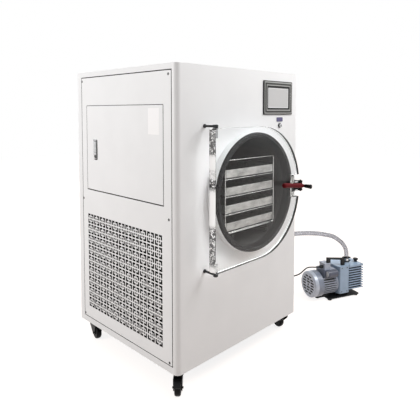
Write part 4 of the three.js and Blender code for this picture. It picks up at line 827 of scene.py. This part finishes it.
def dressRightAndRear():
    front, back, bottom, top = casing["opening"]
    gap, out, inside = casing["panelGap"], casing["panelOut"], casing["panelIn"]
    width, depth, inset = casing["width"], casing["depth"], casing["rearInset"]
    mesh = bmesh.new()
    edge = rounded(front + gap, bottom + gap, back - gap, top - gap, 2, 2)
    plate(mesh, [edge, *louvres(*casing["sideSlots"]), circle(*casing["hoseHole"], 40)],
          width - inside, width - out, "x")
    dressed("right_side_panel", mesh, panelPowderCoat, "casing_paint")
    sideScrews("right_side_screws", width - out, 1)
    mesh = bmesh.new()
    edge = rounded(inset, bottom + gap, width - inset, top - gap, 2, 2)
    plate(mesh, [edge, *louvres(*casing["rearSlots"])], depth - inside, depth - out, "y")
    dressed("rear_panel", mesh, panelPowderCoat, "casing_paint")
    places = [(x, depth - 0.25, z) for x in casing["rearScrews"] for z in casing["screwRows"]]
    panelScrews("rear_panel_screws", places, (-90, "X"), 0.2)


def dressLock():
    softened("lock_plate", chrome, "chrome_trim", 0.5)
    face, seat = lock["face"], casing["panelOut"]
    mesh = bmesh.new()
    # painted shade: a dark slit at the plate's right and a dark plate behind it, where the recess lies in
    # shade
    plate(mesh, [rounded(*lock["shadeSlit"], 2.4, 5)], face, face + 0.5, "x", 0.1)
    plate(mesh, [rounded(*lock["seat"], 7, 6)], seat - 0.5, seat + 0.2, "x", 0.1)
    for y, z, r in lock["marks"]:
        lathe(mesh, [(0, 0), (r - 0.4, 0), (r, 0.3), (r, 0.6)], "x", (face, y, z), 20)
    piece("lock_plate_marks_and_shade", mesh, switchBlack, "service_door", "black_plastic")
    softened("lock_lever", chrome, "chrome_trim", 0.5)
    mesh = bmesh.new()
    lathe(mesh, lock["button"], "x", (0, *lock["marks"][0][:2]), 32)
    dressed("lock_button", mesh, switchBlack, "black_plastic")


dressCasing()
dressRightAndRear()
dressLock()
print("casing, panels and lock dressed")

# chamber, shelves and trays

chamber = {
    "x": 420, "z": 669, "inside": 240, "outside": 245, "flange": 259, "face": 2.3, "depth": 560, "dish": 40,
    "ring": (238, 259), "ringOut": -42,
    "riser": (300, 25, 332.3, 428),  # behind the front, radius, from, to
    "rack": (254, 586, 504, 816), "rackEnd": 465, "wire": 1.8, "wireCorner": 14,
    "shelves": (740, 665.5, 591, 516.5), "shelfThick": 2,
    "tray": (260, 580, 0, 458), "trayHigh": 34,
    "trayFoot": [(1.8, 0), (0.6, 0.5), (0, 1.8)],  # inset and height, up the outside
    "trayRim": [  # from the top
        (0, -4.6), (0.35, -4.2), (0.35, -3.6), (0, -3.2), (0, -1), (0.4, -0.2), (0.9, 0), (1.4, -0.2),
        (1.7, -1),
    ],
    "trayFloor": [(1.7, 3.4), (2.5, 2), (4.1, 1.5)],  # down the inside
    "skid": (120, 12, 466.5),  # away from the middle, width, bottom
    "posts": (120, 355), "post": 2.2, "rod": 1.7,
}


def dressChamber():
    r, out, face, depth = chamber["inside"], chamber["outside"], chamber["face"], chamber["depth"]
    dish, flange, x = chamber["dish"], chamber["flange"], chamber["x"]
    inner = [(r * math.cos(a), depth + dish * math.sin(a)) for a in quarter(10)]
    outer = [(out * math.cos(a), depth + (dish + 5) * math.sin(a)) for a in quarter(10)]
    mesh = bmesh.new()
    centre = (x, 0, chamber["z"])
    lathe(mesh, inner[::-1] + [
        (r, 20), (r, 1), (r + 1, 0), (out, 0), (out, face), (flange - 0.6, face), (flange, face + 0.6),
        (flange, face + 6), (out, face + 6), (out, 40)], "y", centre, 96)
    lathe(mesh, [(out, 40)] + outer, "y", centre, 96, index=1)
    y, wide, low, high = chamber["riser"]
    lathe(mesh, [(wide, low), (wide, high)], "z", (x, y, 0), 40, index=1)
    lathe(mesh, [(0, 4.5), (21, 4.5), (22, 3.5), (22, -2), (0, -2)], "z", (x, y, high + 0.5), 32, index=2)
    dressed("chamber", mesh, [chamberSteelPaintedShade, drumStainless, compressorBlack], "chamber_steel", sharp=45)
    a, b = chamber["ring"]
    front = chamber["ringOut"]
    mid = (a + b) / 2
    ring = bmesh.new()
    lathe(ring, [
        (a, -0.3), (a, front + 3), (a + 1, front + 1), (a + 3, front), (mid + 3, front),
        (mid + 6, front + 1.4), (b - 2, front + 5), (b - 0.6, front + 7.6), (b, front + 11), (b, -0.3),
        (a, -0.3)], "y", centre, 128)

    def paleCollar(middle, normal, index):
        away = math.hypot(middle.x - x, middle.z - chamber["z"])
        return 1 if away > b - 1.5 and middle.y > front + 11 else index

    dressed("chamber_gasket", ring, [doorRubber, casingPowderCoat], "black_rubber", sharp=45, tint=paleCollar)


def dressRack():
    x0, x1, z0, z1 = chamber["rack"]
    wire, corner, end = chamber["wire"], chamber["wireCorner"], chamber["rackEnd"]
    mesh = bmesh.new()
    loop = rounded(x0 + wire, z0 + wire, x1 - wire, z1 - wire, corner - wire, 6)
    for y in (wire, end - wire):
        sweep(mesh, [(x, y, z) for x, z in loop], wire, 14, closed=True)
    for z in chamber["shelves"]:
        block(mesh, x0 + 1.5, x1 - 1.5, 3, end - 2, z - chamber["shelfThick"], z, 2)
        sweep(mesh, [(x0 + 2, wire, z - 6), (x1 - 2, wire, z - 6)], chamber["rod"])  # under the front edge
        for x in (x0 + wire, x1 - wire):  # side bars between the two loops
            sweep(mesh, [(x, wire, z - 4.4), (x, end - wire, z - 4.4)], wire, 10, index=2)
    away, wide, low = chamber["skid"]
    for x in (chamber["x"] - away, chamber["x"] + away):
        block(mesh, x - wide / 2, x + wide / 2, 2, end - 2, low, z0 + 0.5, 2)
        for y in chamber["posts"]:
            sweep(mesh, [(x, y, chamber["shelves"][3] - 4), (x, y, z0)], chamber["post"], 10, index=2)
    dressed("shelf_rack", mesh, [rackWire, shelfStainless, rackShade], "stainless", sharp=40)


def dressTrays():
    x0, x1, y0, y1 = chamber["tray"]
    profile = chamber["trayFoot"] + [(by, chamber["trayHigh"] + up) for by, up in chamber["trayRim"]]
    for number, shelf in enumerate(chamber["shelves"], 1):
        mesh = bmesh.new()
        rings = []
        for by, up in profile + chamber["trayFloor"]:
            outline = rounded(x0 + by, y0 + by, x1 - by, y1 - by, max(6 - by, 1.5), 5)
            rings.append([mesh.verts.new((x, y, shelf + 0.3 + up)) for x, y in outline])
        for low, high in zip(rings, rings[1:]):
            joined(mesh, low, high)
        closedEnds(mesh, rings)
        dressed("tray_%d" % number, mesh, trayStainless, "stainless", sharp=50)


dressChamber()
dressRack()
dressTrays()
print("chamber, rack and trays dressed")

# door, hinges and latch

door = {
    "front": -78.3, "back": -42.3, "left": 130, "radius": 284, "corner": 10, "edge": 1.4,
    "notch": (658, 52), "pin": (146, -62), "pinRadius": 5, "pinLong": 38,
    "eye": (10, 13, 0.8), "stud": 4.6,
}
latch = {
    "pin": (700, -86.3), "out": 15, "hub": 9, "hubHalf": 16.5, "grip": (11, 9.5, 161.5), "tilt": 7,
    "rod": 7, "rodEnd": -111.6, "shaft": 4,
    "knob": [
        (0, 0), (7, 0), (8.5, -3), (9.2, -23), (8.4, -24), (10, -27), (10.6, -30), (9.8, -33), (7, -35),
        (0, -35),
    ],
}


def dressDoor():
    x, z, r = chamber["x"], chamber["z"], door["radius"]
    edge, half = door["notch"]
    angle = math.asin(half / r) / (math.pi / 2)
    left, corner = door["left"], door["corner"]
    outline = (arcPoints(x, z, r, -1, -angle, 48) + [(edge, z - half), (edge, z + half)]
               + arcPoints(x, z, r, angle, 1, 48)
               + arcPoints(left + corner, z + r - corner, corner, 1, 2, 6)
               + arcPoints(left + corner, z - r + corner, corner, 2, 3, 6))
    mesh = bmesh.new()
    plate(mesh, [outline], door["front"], door["back"], "y", door["edge"])

    # painted reflection: the left edge takes the mottled look, the other edge faces take the rim's look
    def edgeReflectionFaces(middle, normal, index):
        if abs(normal.y) > 0.3 or abs(middle.x - edge) < 1 and abs(normal.x) > 0.9:
            return index
        return 1 if normal.x < -0.9 and middle.x < left + 2 else 2

    looks = [doorAcrylic, doorEdgeReflections, doorRimReflection]
    made = dressed("door_plate", mesh, looks, "clear_acrylic", sharp=30, tint=edgeReflectionFaces)
    made.visible_shadow = False  # light passes through its edges as well


def dressHinges():
    px, py = door["pin"]
    p, s = door["pinRadius"], door["stud"]
    eye, high, gap = door["eye"]
    for up, name in ((1, "hinge_bracket_top"), (-1, "hinge_bracket_bottom")):
        rim = chamber["z"] + up * door["radius"]
        mesh = bmesh.new()
        lathe(mesh, [
            (0, -0.3), (7.6, -0.3), (8, -0.9), (8, -4.2), (7.2, -5.4), (s + 1.2, -6), (s, -7.5), (s, py + 8),
        ], "y", (px, 0, rim + up * (gap + high / 2)), 40)
        low, top = sorted((rim + up * gap, rim + up * (gap + high)))
        lathe(mesh, chamfered(eye, low, top, 1.2), "z", (px, py, 0), 40)
        low, top = sorted((rim - up * door["pinLong"], rim + up * (gap + high + 3)))
        lathe(mesh, chamfered(p, low, top, 1), "z", (px, py, 0), 28, index=1)
        dressed(name, mesh, [hingeSteel, chrome], "dark_steel")


def dressLatch():
    x, y = latch["pin"]
    z = chamber["z"]
    face = door["front"] - 6

    def brightMount(middle, normal, index):
        ahead = normal.y < -0.9 and face - 0.5 < middle.y < face + 0.5
        return 1 if middle.x < x - 16 and (ahead or normal.x < -0.9) else index

    softened("latch_base", [latchBlack, chrome], "black_plastic", 0.8, steps=3, tint=brightMount)
    softened("latch_keeper", hingeSteel, "dark_steel", 0.6)
    mesh = bmesh.new()
    half, rod, start = latch["hubHalf"], latch["rod"], latch["rodEnd"]
    lathe(mesh, chamfered(latch["hub"], z - half, z + half, 1), "z", (x, y, 0), 36, index=1)
    tip = start - y
    lathe(mesh, [(rod, 0), (rod, tip + 0.6), (rod - 0.6, tip + 0.3), (0, tip + 0.3)], "y", (x, y, z), 32, 2)
    tilt = spun(latch["tilt"], "Y", (x, y - latch["out"], z)) @ spun(-90, "Y")
    r, a, b = latch["grip"]
    lathe(mesh, [(latch["shaft"], 0), (latch["shaft"], b - 8)], segments=20, place=tilt)
    lever = dressed("latch_lever", mesh, [latchSteel, latchBlack, gripRed], "dark_steel")
    mesh = bmesh.new()
    end = [(r * math.cos(t), b - r * 0.8 + r * 0.8 * math.sin(t)) for t in quarter(8)]
    lathe(mesh, [
        (4.4, a), (r - 3, a), (r - 1, a + 1.5), (r - 0.6, a + 4), (r, a + 10), (r - 0.4, (a + b) / 2),
        (r, b - 16), *end], segments=36, place=tilt)
    grip = dressed("latch_grip", mesh, gripRed, "red_plastic")
    lever.visible_glossy = grip.visible_glossy = False  # no dark mirror image across the chamber
    mesh = bmesh.new()
    lathe(mesh, latch["knob"], "y", (x, start, z), 36)
    dressed("latch_knob", mesh, latchBlack, "black_plastic")


dressDoor()
dressHinges()
dressLatch()
print("door, hinges and latch dressed")

# touch panel, port cover and key switch

controls = {
    "bezel": (520, 744, 1003, 1159), "proud": 8, "step": 9,
    "steps": (  # from, to, front, look
        (0, 5, -4.8, 0), (4.6, 10.4, -6.4, 1), (10, 18.4, -8, 0), (18, 23, -7.6, 1), (22.6, 31, -6.8, 3),
    ),
    "screen": (551, 713, 1034, 1127), "screenFace": -4.3,
    "port": (624.5, 970, 671.5, 990), "window": (629.5, 974.5, 666.5, 985.5), "portFace": -2.3,
    "switch": (648, 952), "collar": 12, "knob": 8, "knobFace": -10,
}


def dressPanel():
    x0, x1, z0, z1 = controls["bezel"]
    step, proud, face = controls["step"], controls["proud"], controls["screenFace"]
    mesh = bmesh.new()
    for t0, t1, y, index in controls["steps"]:
        outer = rounded(x0 + t0, z0 + t0, x1 - t0, z1 - t0, 4 - t0 / 8, 5)
        plate(mesh, [outer, rectangle(x0, x1, z0, z1, -t1)], y, -0.3, "y", 0.4, index)
    plate(mesh, [rectangle(x0, x1, z0, z1, -step - 1)], -2.9, 38, "y", 0.5)
    right, top = controls["screen"][1], controls["screen"][3]
    for i in range(3):  # indicator lamps at the right of the screen
        centre = (right + 14, -proud, top - 24 - 13 * i)
        lathe(mesh, [(0, 0), (2.4, 0.1), (2.8, 0.5), (2.8, 2)], "y", centre, 20, 2)

    def shadedSides(middle, normal, index):
        return 3 if normal.x < -0.6 and middle.x < x0 + step + 2 else index

    looks = [bezelGrey, bezelLine, screenBorder, switchBlack]
    dressed("hmi_bezel", mesh, looks, "bezel_plastic", tint=shadedSides)
    mesh = bmesh.new()
    glass = rectangle(*controls["screen"], -0.3)
    plate(mesh, [glass], face, face + 1, "y", 0.1)
    plate(mesh, [glass, rectangle(*controls["screen"], -5)], face - 0.15, face + 0.1, "y", 0.05, index=1)
    dressed("hmi_screen", mesh, [screenFace, screenBorder], "screen_glass")


def dressPortAndSwitch():
    face = controls["portFace"]
    mesh = bmesh.new()
    plate(mesh, [rounded(*controls["port"], 4, 6)], face, -0.3, "y", 0.5)
    plate(mesh, [rounded(*controls["window"], 2.5, 5)], face - 0.3, -1, "y", 0.3)
    dressed("port_cover", mesh, [portViolet, bezelGrey], "port_plastic")
    x, z = controls["switch"]
    r, k, out = controls["collar"], controls["knob"], controls["knobFace"]
    mesh = bmesh.new()
    lathe(mesh, [
        (k + 0.3, 22), (k + 0.3, -3.4), (k + 0.8, -4), (r - 1.2, -4), (r - 0.3, -3.5), (r, -2.6), (r, -0.3),
        (r - 2, -0.3), (r - 2, 24), (0, 24), (0, 22), (k + 0.3, 22)], "y", (x, 0, z), 40)
    dressed("switch_collar", mesh, screwDark, "chrome_trim")
    mesh = bmesh.new()
    lathe(mesh, [(0, 21.5), (k, 21.5), (k, out + 1.2), (k - 1.2, out), (0, out)], "y", (x, 0, z), 36)
    block(mesh, x - 2, x + 2, out - 0.2, out + 1, z - 6.4, z + 6.4, 1)
    dressed("switch_knob", mesh, [chrome, switchBlack], "black_plastic")


dressPanel()
dressPortAndSwitch()
print("controls dressed")

# castors

castors = {
    "corners": {  # place of the swivel and its turn
        "front_left": (45, 45, -136), "front_right": (755, 45, 80),
        "rear_left": (45, 670, -100), "rear_right": (755, 670, -70),
    },
    "wheel": (31, 26), "trail": 32, "hub": 20,
}


def dressCastors():
    r, width = castors["wheel"]
    h = width / 2
    at = (castors["trail"], 0, r)
    side = [(4.3, h + 1.5), (9, h + 1.5), (10, h + 0.9), (11, h - 1.5), (19, h - 2.2), (20.5, h - 0.2),
            (21.5, h), (r - 7.4, h - 0.3)]
    half = side + [(r - 7 + 7 * math.sin(t), h - 9 + 8.6 * math.cos(t)) for t in quarter(7)]
    tyre = half + [(radius, -along) for radius, along in reversed(half)] + [half[0]]

    def hubInside(middle, normal, index):
        return 1 if math.hypot(middle.x - at[0], middle.z - at[2]) < castors["hub"] else 0

    for corner, (x, y, turn) in castors["corners"].items():
        place = floorFrame @ spun(turn, "Z", (x, y, 0))
        softened("castor_fork_" + corner, forkBlack, "machine_black", 0.5, place)
        mesh = bmesh.new()
        lathe(mesh, tyre, "y", at, 56)
        looks = [wheelBlack, wheelHub]
        dressed("castor_wheel_" + corner, mesh, looks, "wheel_rubber", place=place, tint=hubInside)
        if corner.startswith("front"):
            softened("brake_pedal_" + corner, pedalBlack, "black_plastic", 0.8, place, steps=3)


dressCastors()
print("castors dressed")

# vacuum pump, in its own frame: along its axis from the motor's end, across, up from the floor

pump = {
    "cover": (76, 62), "end": 66.6, "eye": 6.5,
    "slotRows": 7, "slotPitch": 16, "slotHigh": 9.5, "slotReach": 59, "slotLong": 36, "slotGap": 2.2,
    "coverScrews": (0.9, 2.5, 4.0, 5.6), "blades": 9,
    "motor": (62, 168), "fin": (72, 3.8, 12.4, 8), "finLow": -46,
    "capacitor": (22, 84, 156, -64, 160),
    "box": (80, 122, -50, 4, 176, 219), "glandAt": (-28, 197),
    "block": (168.3, 246, 65, 27, 192),
    "oil": (246.3, 350, 68, 46, 190, 9, 8), "fittings": ((46, 11), (14, 7)),
    "inlet": (270.3, -10, 190.3), "exhaust": (332, -20, 190.3),
    "bolts": ((10.4, 0.5, 17.5), (31, 0.3, 13)),  # up, turn, away
    "ribs": (16, 14.4),
}


def pumpDressed(node, mesh, look, slot, **more):
    return dressed(node, mesh, look, slot, place=pumpFrame, **more)


def pumpExtra(name, mesh, look, slot):
    return piece(name, mesh, look, "cabinet", slot, place=pumpFrame)


def slotRow(z, shift):
    # one row of the fan cover's slots, z over its middle, clear of the hole there
    gap, tall = pump["slotGap"], pump["slotHigh"]
    reach = math.sqrt(pump["slotReach"] ** 2 - z ** 2) - 2
    count = max(1, round(2 * reach / pump["slotLong"]))
    cell = 2 * reach / count
    row = []
    for i in range(count):
        a, b = -reach + i * cell + gap + shift, -reach + (i + 1) * cell - gap
        if abs(z) < 10 and a < 12 and b > -12:
            if abs(a + b) / 2 < 4:
                continue
            a, b = (max(a, 13), b) if a + b > 0 else (a, min(b, -13))
        if b - a > 4:
            middle = pumpAxis + z
            row.append(rounded(a, middle - tall / 2, b, middle + tall / 2, tall / 2.2, 4))
    return row


def dressFanCover():
    r, long = pump["cover"]
    centre = (0, 0, pumpAxis)
    rows = pump["slotRows"]
    outlines = [circle(0, pumpAxis, pump["end"], 72), circle(0, pumpAxis, pump["eye"], 24)]
    for row in range(rows):
        outlines += slotRow((row - (rows - 1) / 2) * pump["slotPitch"], 2 * (row % 2))
    mesh = bmesh.new()
    plate(mesh, outlines, 0.6, 3, "x", 0.5, 1)
    shoulder = [(67 + 9 * math.sin(t), 9.6 - 9 * math.cos(t)) for t in quarter(7)[1:]]
    lathe(mesh, [(66, 0.9), (67, 0.6), *shoulder, (r, 26)], "x", centre, 72, index=1)
    barrel = [(r, 26), (r, long - 0.6), (r - 0.6, long), (r - 2, long), (r - 2, 9.6), (66, 3)]
    lathe(mesh, barrel, "x", centre, 72)
    for a in pump["coverScrews"]:
        out = Vector((0, math.cos(a), math.sin(a)))
        spot = Matrix.Translation(Vector((long - 8, 0, pumpAxis)) + (r - 0.4) * out)
        screwHead(mesh, spot @ out.to_track_quat("Z", "Y").to_matrix().to_4x4(), 3.4, 0.9, 1, 2)
    lathe(mesh, [(6.5, 1.2), (6, 1.6), (5.5, 3.4), (0, 3.4)], "x", centre, 24, index=2)
    lathe(mesh, [(0, 4.2), (66, 4.2), (66, 5), (0, 5)], "x", centre, index=2)  # painted shade: a dark disc behind the slots, so that they read black
    pumpDressed("pump_fan_cover", mesh, [pumpGrey, pumpBright, pumpDark], "pump_paint_grey")
    mesh = bmesh.new()
    hub = [(0, 12), (14, 12), (15, 13), (15, 34), (58, 36), (58, 38), (0, 38)]
    lathe(mesh, hub, "x", centre, 40)
    for a in angles(pump["blades"]):
        spot = spun(math.degrees(a), "X", (25, 0, pumpAxis)) @ Matrix.Translation((0, 0, 36))
        cuboid(mesh, spot, (21, 1.6, 42))
    pumpExtra("pump_cooling_fan", mesh, pumpDark, "machine_black")


def dressMotor():
    axis, centre = pumpAxis, (0, 0, pumpAxis)
    r, end = pump["motor"]
    start = pump["cover"][1]
    out, thick, pitch, count = pump["fin"]
    mesh = bmesh.new()
    lathe(mesh, [
        (0, start - 14), (73.2, start - 14), (73.2, start - 1), (r + 2, start + 1), (r, start + 4),
        (r, end - 22), (out - 6, end - 20), (out, end - 15), (out - 1, end - 6), (out - 4, end), (0, end),
    ], "x", centre, 72)
    for i in range(count):
        d = pump["finLow"] + i * pitch
        root, tip = math.sqrt(r ** 2 - d ** 2) - 3, math.sqrt(out ** 2 - d ** 2)
        for a, b in ((-tip, -root), (root, tip)):
            block(mesh, start + 3, end - 17, a, b, axis + d - thick / 2, axis + d + thick / 2, 1)
    cr, c0, c1, cy, cz = pump["capacitor"]
    long = c1 - c0
    can = [(0, 3), (cr - 5, 3), (cr - 1.5, 4.5), (cr, 8), (cr, long - 5), (cr - 4, long), (0, long)]
    lathe(mesh, can, "x", (c0, cy, cz))
    lathe(mesh, [(cr - 6.5, 3.2), (cr - 6.5, 0.4), (cr - 8, 0), (0, 0)], "x", (c0, cy, cz), 40, 2)
    x0, x1, y0, y1, z0, _ = pump["box"]
    block(mesh, start + 14, end - 16, cy + 4, 26, axis + 42, 183)  # saddle under the terminal box
    block(mesh, x0 - 3, x1 + 6, y0 - 2, y1 + 6, z0 - 12, z0 - 0.4)
    for face in mesh.faces:
        middle = face.calc_center_median()
        if start + 3 < middle.x < end - 21 and math.hypot(middle.y, middle.z - axis) < r + 0.5:
            face.material_index = 3  # the barrel between the fins lies in shade
        if c0 + 5 < middle.x < c1 + 1 and math.hypot(middle.y - cy, middle.z - cz) < cr + 0.5:
            face.material_index = 4
    looks = [pumpGrey, pumpFinGrey, capWhite, pumpDark, capGrey]
    pumpDressed("pump_motor", mesh, looks, "pump_paint_grey", sharp=32)


def dressTerminalBox():
    x0, x1, y0, y1, z0, z1 = pump["box"]
    mesh = bmesh.new()
    plate(mesh, [rounded(y0 + 0.8, z0, y1 - 0.8, z1 - 2, 6, 6)], x0 + 0.8, x1 - 0.8, "x", 2)
    plate(mesh, [rounded(y0, z1 - 10.5, y1, z1, 2, 3)], x0, x1, "x", 1.2)
    for x in (x0 + 6, x1 - 6):
        for y in (y0 + 8, y1 - 8):
            screwHead(mesh, Matrix.Translation((x, y, z1 - 0.9)), 2.8, 0.9, 1, 2)
    pumpDressed("pump_terminal_box", mesh, [boxGrey, chrome, pumpDark], "pump_paint_grey")
    mesh = bmesh.new()
    lathe(mesh, [
        (0, 0), (9, 0), (9, -3), (8.6, -3.6), (9, -4.2), (9, -14), (8.2, -16), (7, -17.4), (5.6, -20),
        (4.9, -24), (3.6, -24), (3.6, -18)], "x", (x0 - 0.3, *pump["glandAt"]), 36)
    pumpDressed("lead_gland", mesh, pumpDark, "black_rubber")


def dressBlockAndBox():
    softened("pump_block", pumpBlue, "pump_paint_blue", 2.4, pumpFrame, steps=3)
    x0, x1, half, low, high = pump["block"]
    mesh = bmesh.new()
    for z in (low + 12, high - 12):
        for x in (x0 + 26, x1 - 14):
            for side in (-1, 1):
                spot = spun(-90 * side, "X", (x, side * half, z))
                lathe(mesh, [(0, 0.9), (2.8, 0.9), (3.4, 0.3), (3.6, -0.2)], segments=18, place=spot)
                lathe(mesh, [(1.7, 0.95), (1.7, 0.5), (0, 0.5)], segments=6, place=spot, index=1)
    pumpExtra("pump_block_screws", mesh, [screwDark, pumpDark], "dark_steel")
    x0, x1, half, low, high, fins, out = pump["oil"]
    mesh = bmesh.new()
    block(mesh, x0, x1 - out, -half + out, half - out, low, high - 2, 1)
    block(mesh, x0, x1, -half, half, high - 12, high)
    for i in range(fins):
        z = low + i * (high - 12 - low) / fins
        block(mesh, x0, x1 + 2, -half, half, z, z + 5)
    bmesh.ops.recalc_face_normals(mesh, faces=mesh.faces)
    pumpDressed("pump_oil_box", mesh, [pumpBlue, pumpDark], "pump_paint_blue", bevel=0.9)
    mesh = bmesh.new()
    for x in (x0 + 8, x1 - 8):
        for y in (-half + 9, half - 9):
            spot = Matrix.Translation((x, y, high))
            lathe(mesh, [(0, 1.6), (3.4, 1.6), (4, 1), (4, 0)], segments=20, place=spot)
            lathe(mesh, [(2.2, 1.65), (2.2, 0.8), (0, 0.8)], segments=6, place=spot, index=1)
    for up, r in pump["fittings"]:  # oil window and drain plug in the end
        ring = [(r + 2.4, 3.4), (r + 1.4, 4.6), (r - 1, 4.6), (r - 1.6, 3), (0, 3)]
        lathe(mesh, [(0, -out - 1), (r + 2.4, -out - 1), *ring], "x", (x1, 30, low + up), 32, 2)
    pumpExtra("pump_oil_box_fittings", mesh, [screwDark, pumpDark, chrome], "chrome_trim")


def dressHandleAndBase():
    softened("pump_handle", pumpDark, "machine_black", 2.2, pumpFrame, steps=3)
    softened("pump_base", pumpDark, "machine_black", 1.0, pumpFrame)
    x, y, z = pump["inlet"]
    mesh = bmesh.new()
    lathe(mesh, [
        (0, 0), (15, 0), (15, 6), (14, 7), (11, 8), (11, 12.6), (14.4, 13.6), (15, 14.4), (15, 21),
        (14.4, 21.8), (12.4, 22.6), (12.4, 29), (11.6, 30), (9, 30), (9, 16), (0, 16),
    ], centre=(x, y, z), segments=44)
    for up, turn, away in pump["bolts"]:  # pairs of clamp bolts with wing nuts
        for side in (0, math.pi):
            about = Matrix.Translation((x, y, z + up)) @ Matrix.Rotation(turn + side, 4, "Z")
            spot = about @ spun(90, "X", (away, 0, 0))
            lathe(mesh, [(0, -11), (2.6, -11), (2.6, 11), (0, 11)], segments=14, place=spot, index=1)
            lathe(mesh, [(0, 4), (5, 4), (5, 8), (0, 8)], segments=6, place=spot, index=1)
            cuboid(mesh, spot @ Matrix.Translation((0, 0, 13)), (15, 6, 8), 1)
    for band in ([(12.4, 26), (15.6, 26.6), (15.6, 33.4), (13.8, 34)],
                 [(15, 6.8), (19.6, 7.6), (19.6, 13), (15, 13.8)]):
        lathe(mesh, band, centre=(x, y, z), segments=44, index=1)
    pumpDressed("pump_inlet", mesh, [chrome, pumpDark], "chrome_trim", sharp=35)
    x, y, z = pump["exhaust"]
    mesh = bmesh.new()
    lathe(mesh, [(0, 0), (9, 0), (9.4, 6), (10, 12), (14, 13.2), (15, 14.4), (15, 19.4), (14, 20.6), (0, 21)],
          centre=(x, y, z), segments=40)
    count, away = pump["ribs"]
    for ribX, ribY in circle(x, y, away, count):
        block(mesh, ribX - 0.8, ribX + 0.8, ribY - 0.8, ribY + 0.8, z + 14.4, z + 19.6)
    pumpDressed("pump_exhaust_cap", mesh, pumpDark, "machine_black")


dressFanCover()
dressMotor()
dressTerminalBox()
dressBlockAndBox()
dressHandleAndBase()
print("vacuum pump dressed")

# hose port and gland on the right side

ports = {
    "hose": (800.3, 300, 303), "gland": (800.3, 250, 60),
    "flange": [(0, 0), (26, 0), (26, 5), (25, 6), (17.6, 6), (0, 6)],
    "nut": [(0, 5), (18, 5), (18, 11.4), (17.2, 12), (0, 12)],
    "ribs": 9, "rib": 2.2, "screws": (0.8, 2.4, 3.9, 5.5), "screwsAway": 21.6,
    "tail": [(10.4, 31.4), (10, 32), (8, 32), (8, 20), (0, 20)],
    "relief": [(0, 0), (12, 0), (12, 4.8), (11.2, 5.8), (9, 7), (9, 9.6), (8.2, 12.4), (7, 15.6), (5.4, 20),
               (4.9, 21.7), (3.6, 21.7), (3.6, 14)],
}


def dressPorts():
    ribs = [(12.1 if k % 2 else 11, 12 + ports["rib"] * k) for k in range(ports["ribs"])]
    tail = [(11, 11), *ribs, *ports["tail"]]
    x, y, z = ports["hose"]
    away = ports["screwsAway"]
    mesh = bmesh.new()
    for profile, count in ((ports["flange"], 48), (ports["nut"], 6), (tail, 40)):
        lathe(mesh, profile, "x", (x, y, z), count)
    for a in ports["screws"]:
        screwHead(mesh, spun(90, "Y", (x + 6, y + away * math.cos(a), z + away * math.sin(a))), 2.6, 1.2)
    dressed("hose_port", mesh, [chrome, switchBlack], "chrome_trim", sharp=30)
    mesh = bmesh.new()
    lathe(mesh, ports["relief"], "x", ports["gland"], 36)
    dressed("panel_gland", mesh, pumpDark, "black_rubber")


dressPorts()

# what is inside the machine bays

condenser = {"end": 3, "foot": 20, "fin": 0.6, "finGap": 4, "tubes": 12, "tube": 4.5}


def dressInside():
    softened("cold_trap", trapStainless, "stainless", 1.2)
    softened("compressor", compressorBlack, "machine_black", 1.2)
    softened("fan_shroud", chassisPaint, "chassis_steel", 0.5)
    softened("condenser_fan", fanBlack, "machine_black", 0.5)
    softened("control_plate", gearPlastic, "fin_aluminium", 0.6)
    dressCondenser()


def dressCondenser():
    low, high = (casingFrame.inverted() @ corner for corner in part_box("condenser"))
    end, foot, gap, tubes = [condenser[part] for part in ("end", "foot", "finGap", "tubes")]
    mesh = bmesh.new()
    for y in (low.y, high.y - end):
        block(mesh, low.x, high.x, y, y + end, low.z, high.z, 1)
    for z0, z1 in ((low.z + foot - 3, low.z + foot), (high.z - 3, high.z - 1)):
        block(mesh, low.x, high.x, low.y + end, high.y - end, z0, z1, 1)
    y = low.y + 6
    while y < high.y - 6:
        block(mesh, low.x + 2, high.x - 1, y, y + condenser["fin"], low.z + foot, high.z - 3)
        y += gap
    for i in range(tubes):
        z = low.z + 34 + i * (high.z - low.z - 52) / (tubes - 1)
        for x in (low.x + 15, high.x - 14):
            sweep(mesh, [(x, low.y + 1, z), (x, high.y - 1, z)], condenser["tube"], 10, index=2)
    dressed("condenser", mesh, [finAluminium, chassisPaint, copperTube], "fin_aluminium")


dressInside()
print("inside dressed")
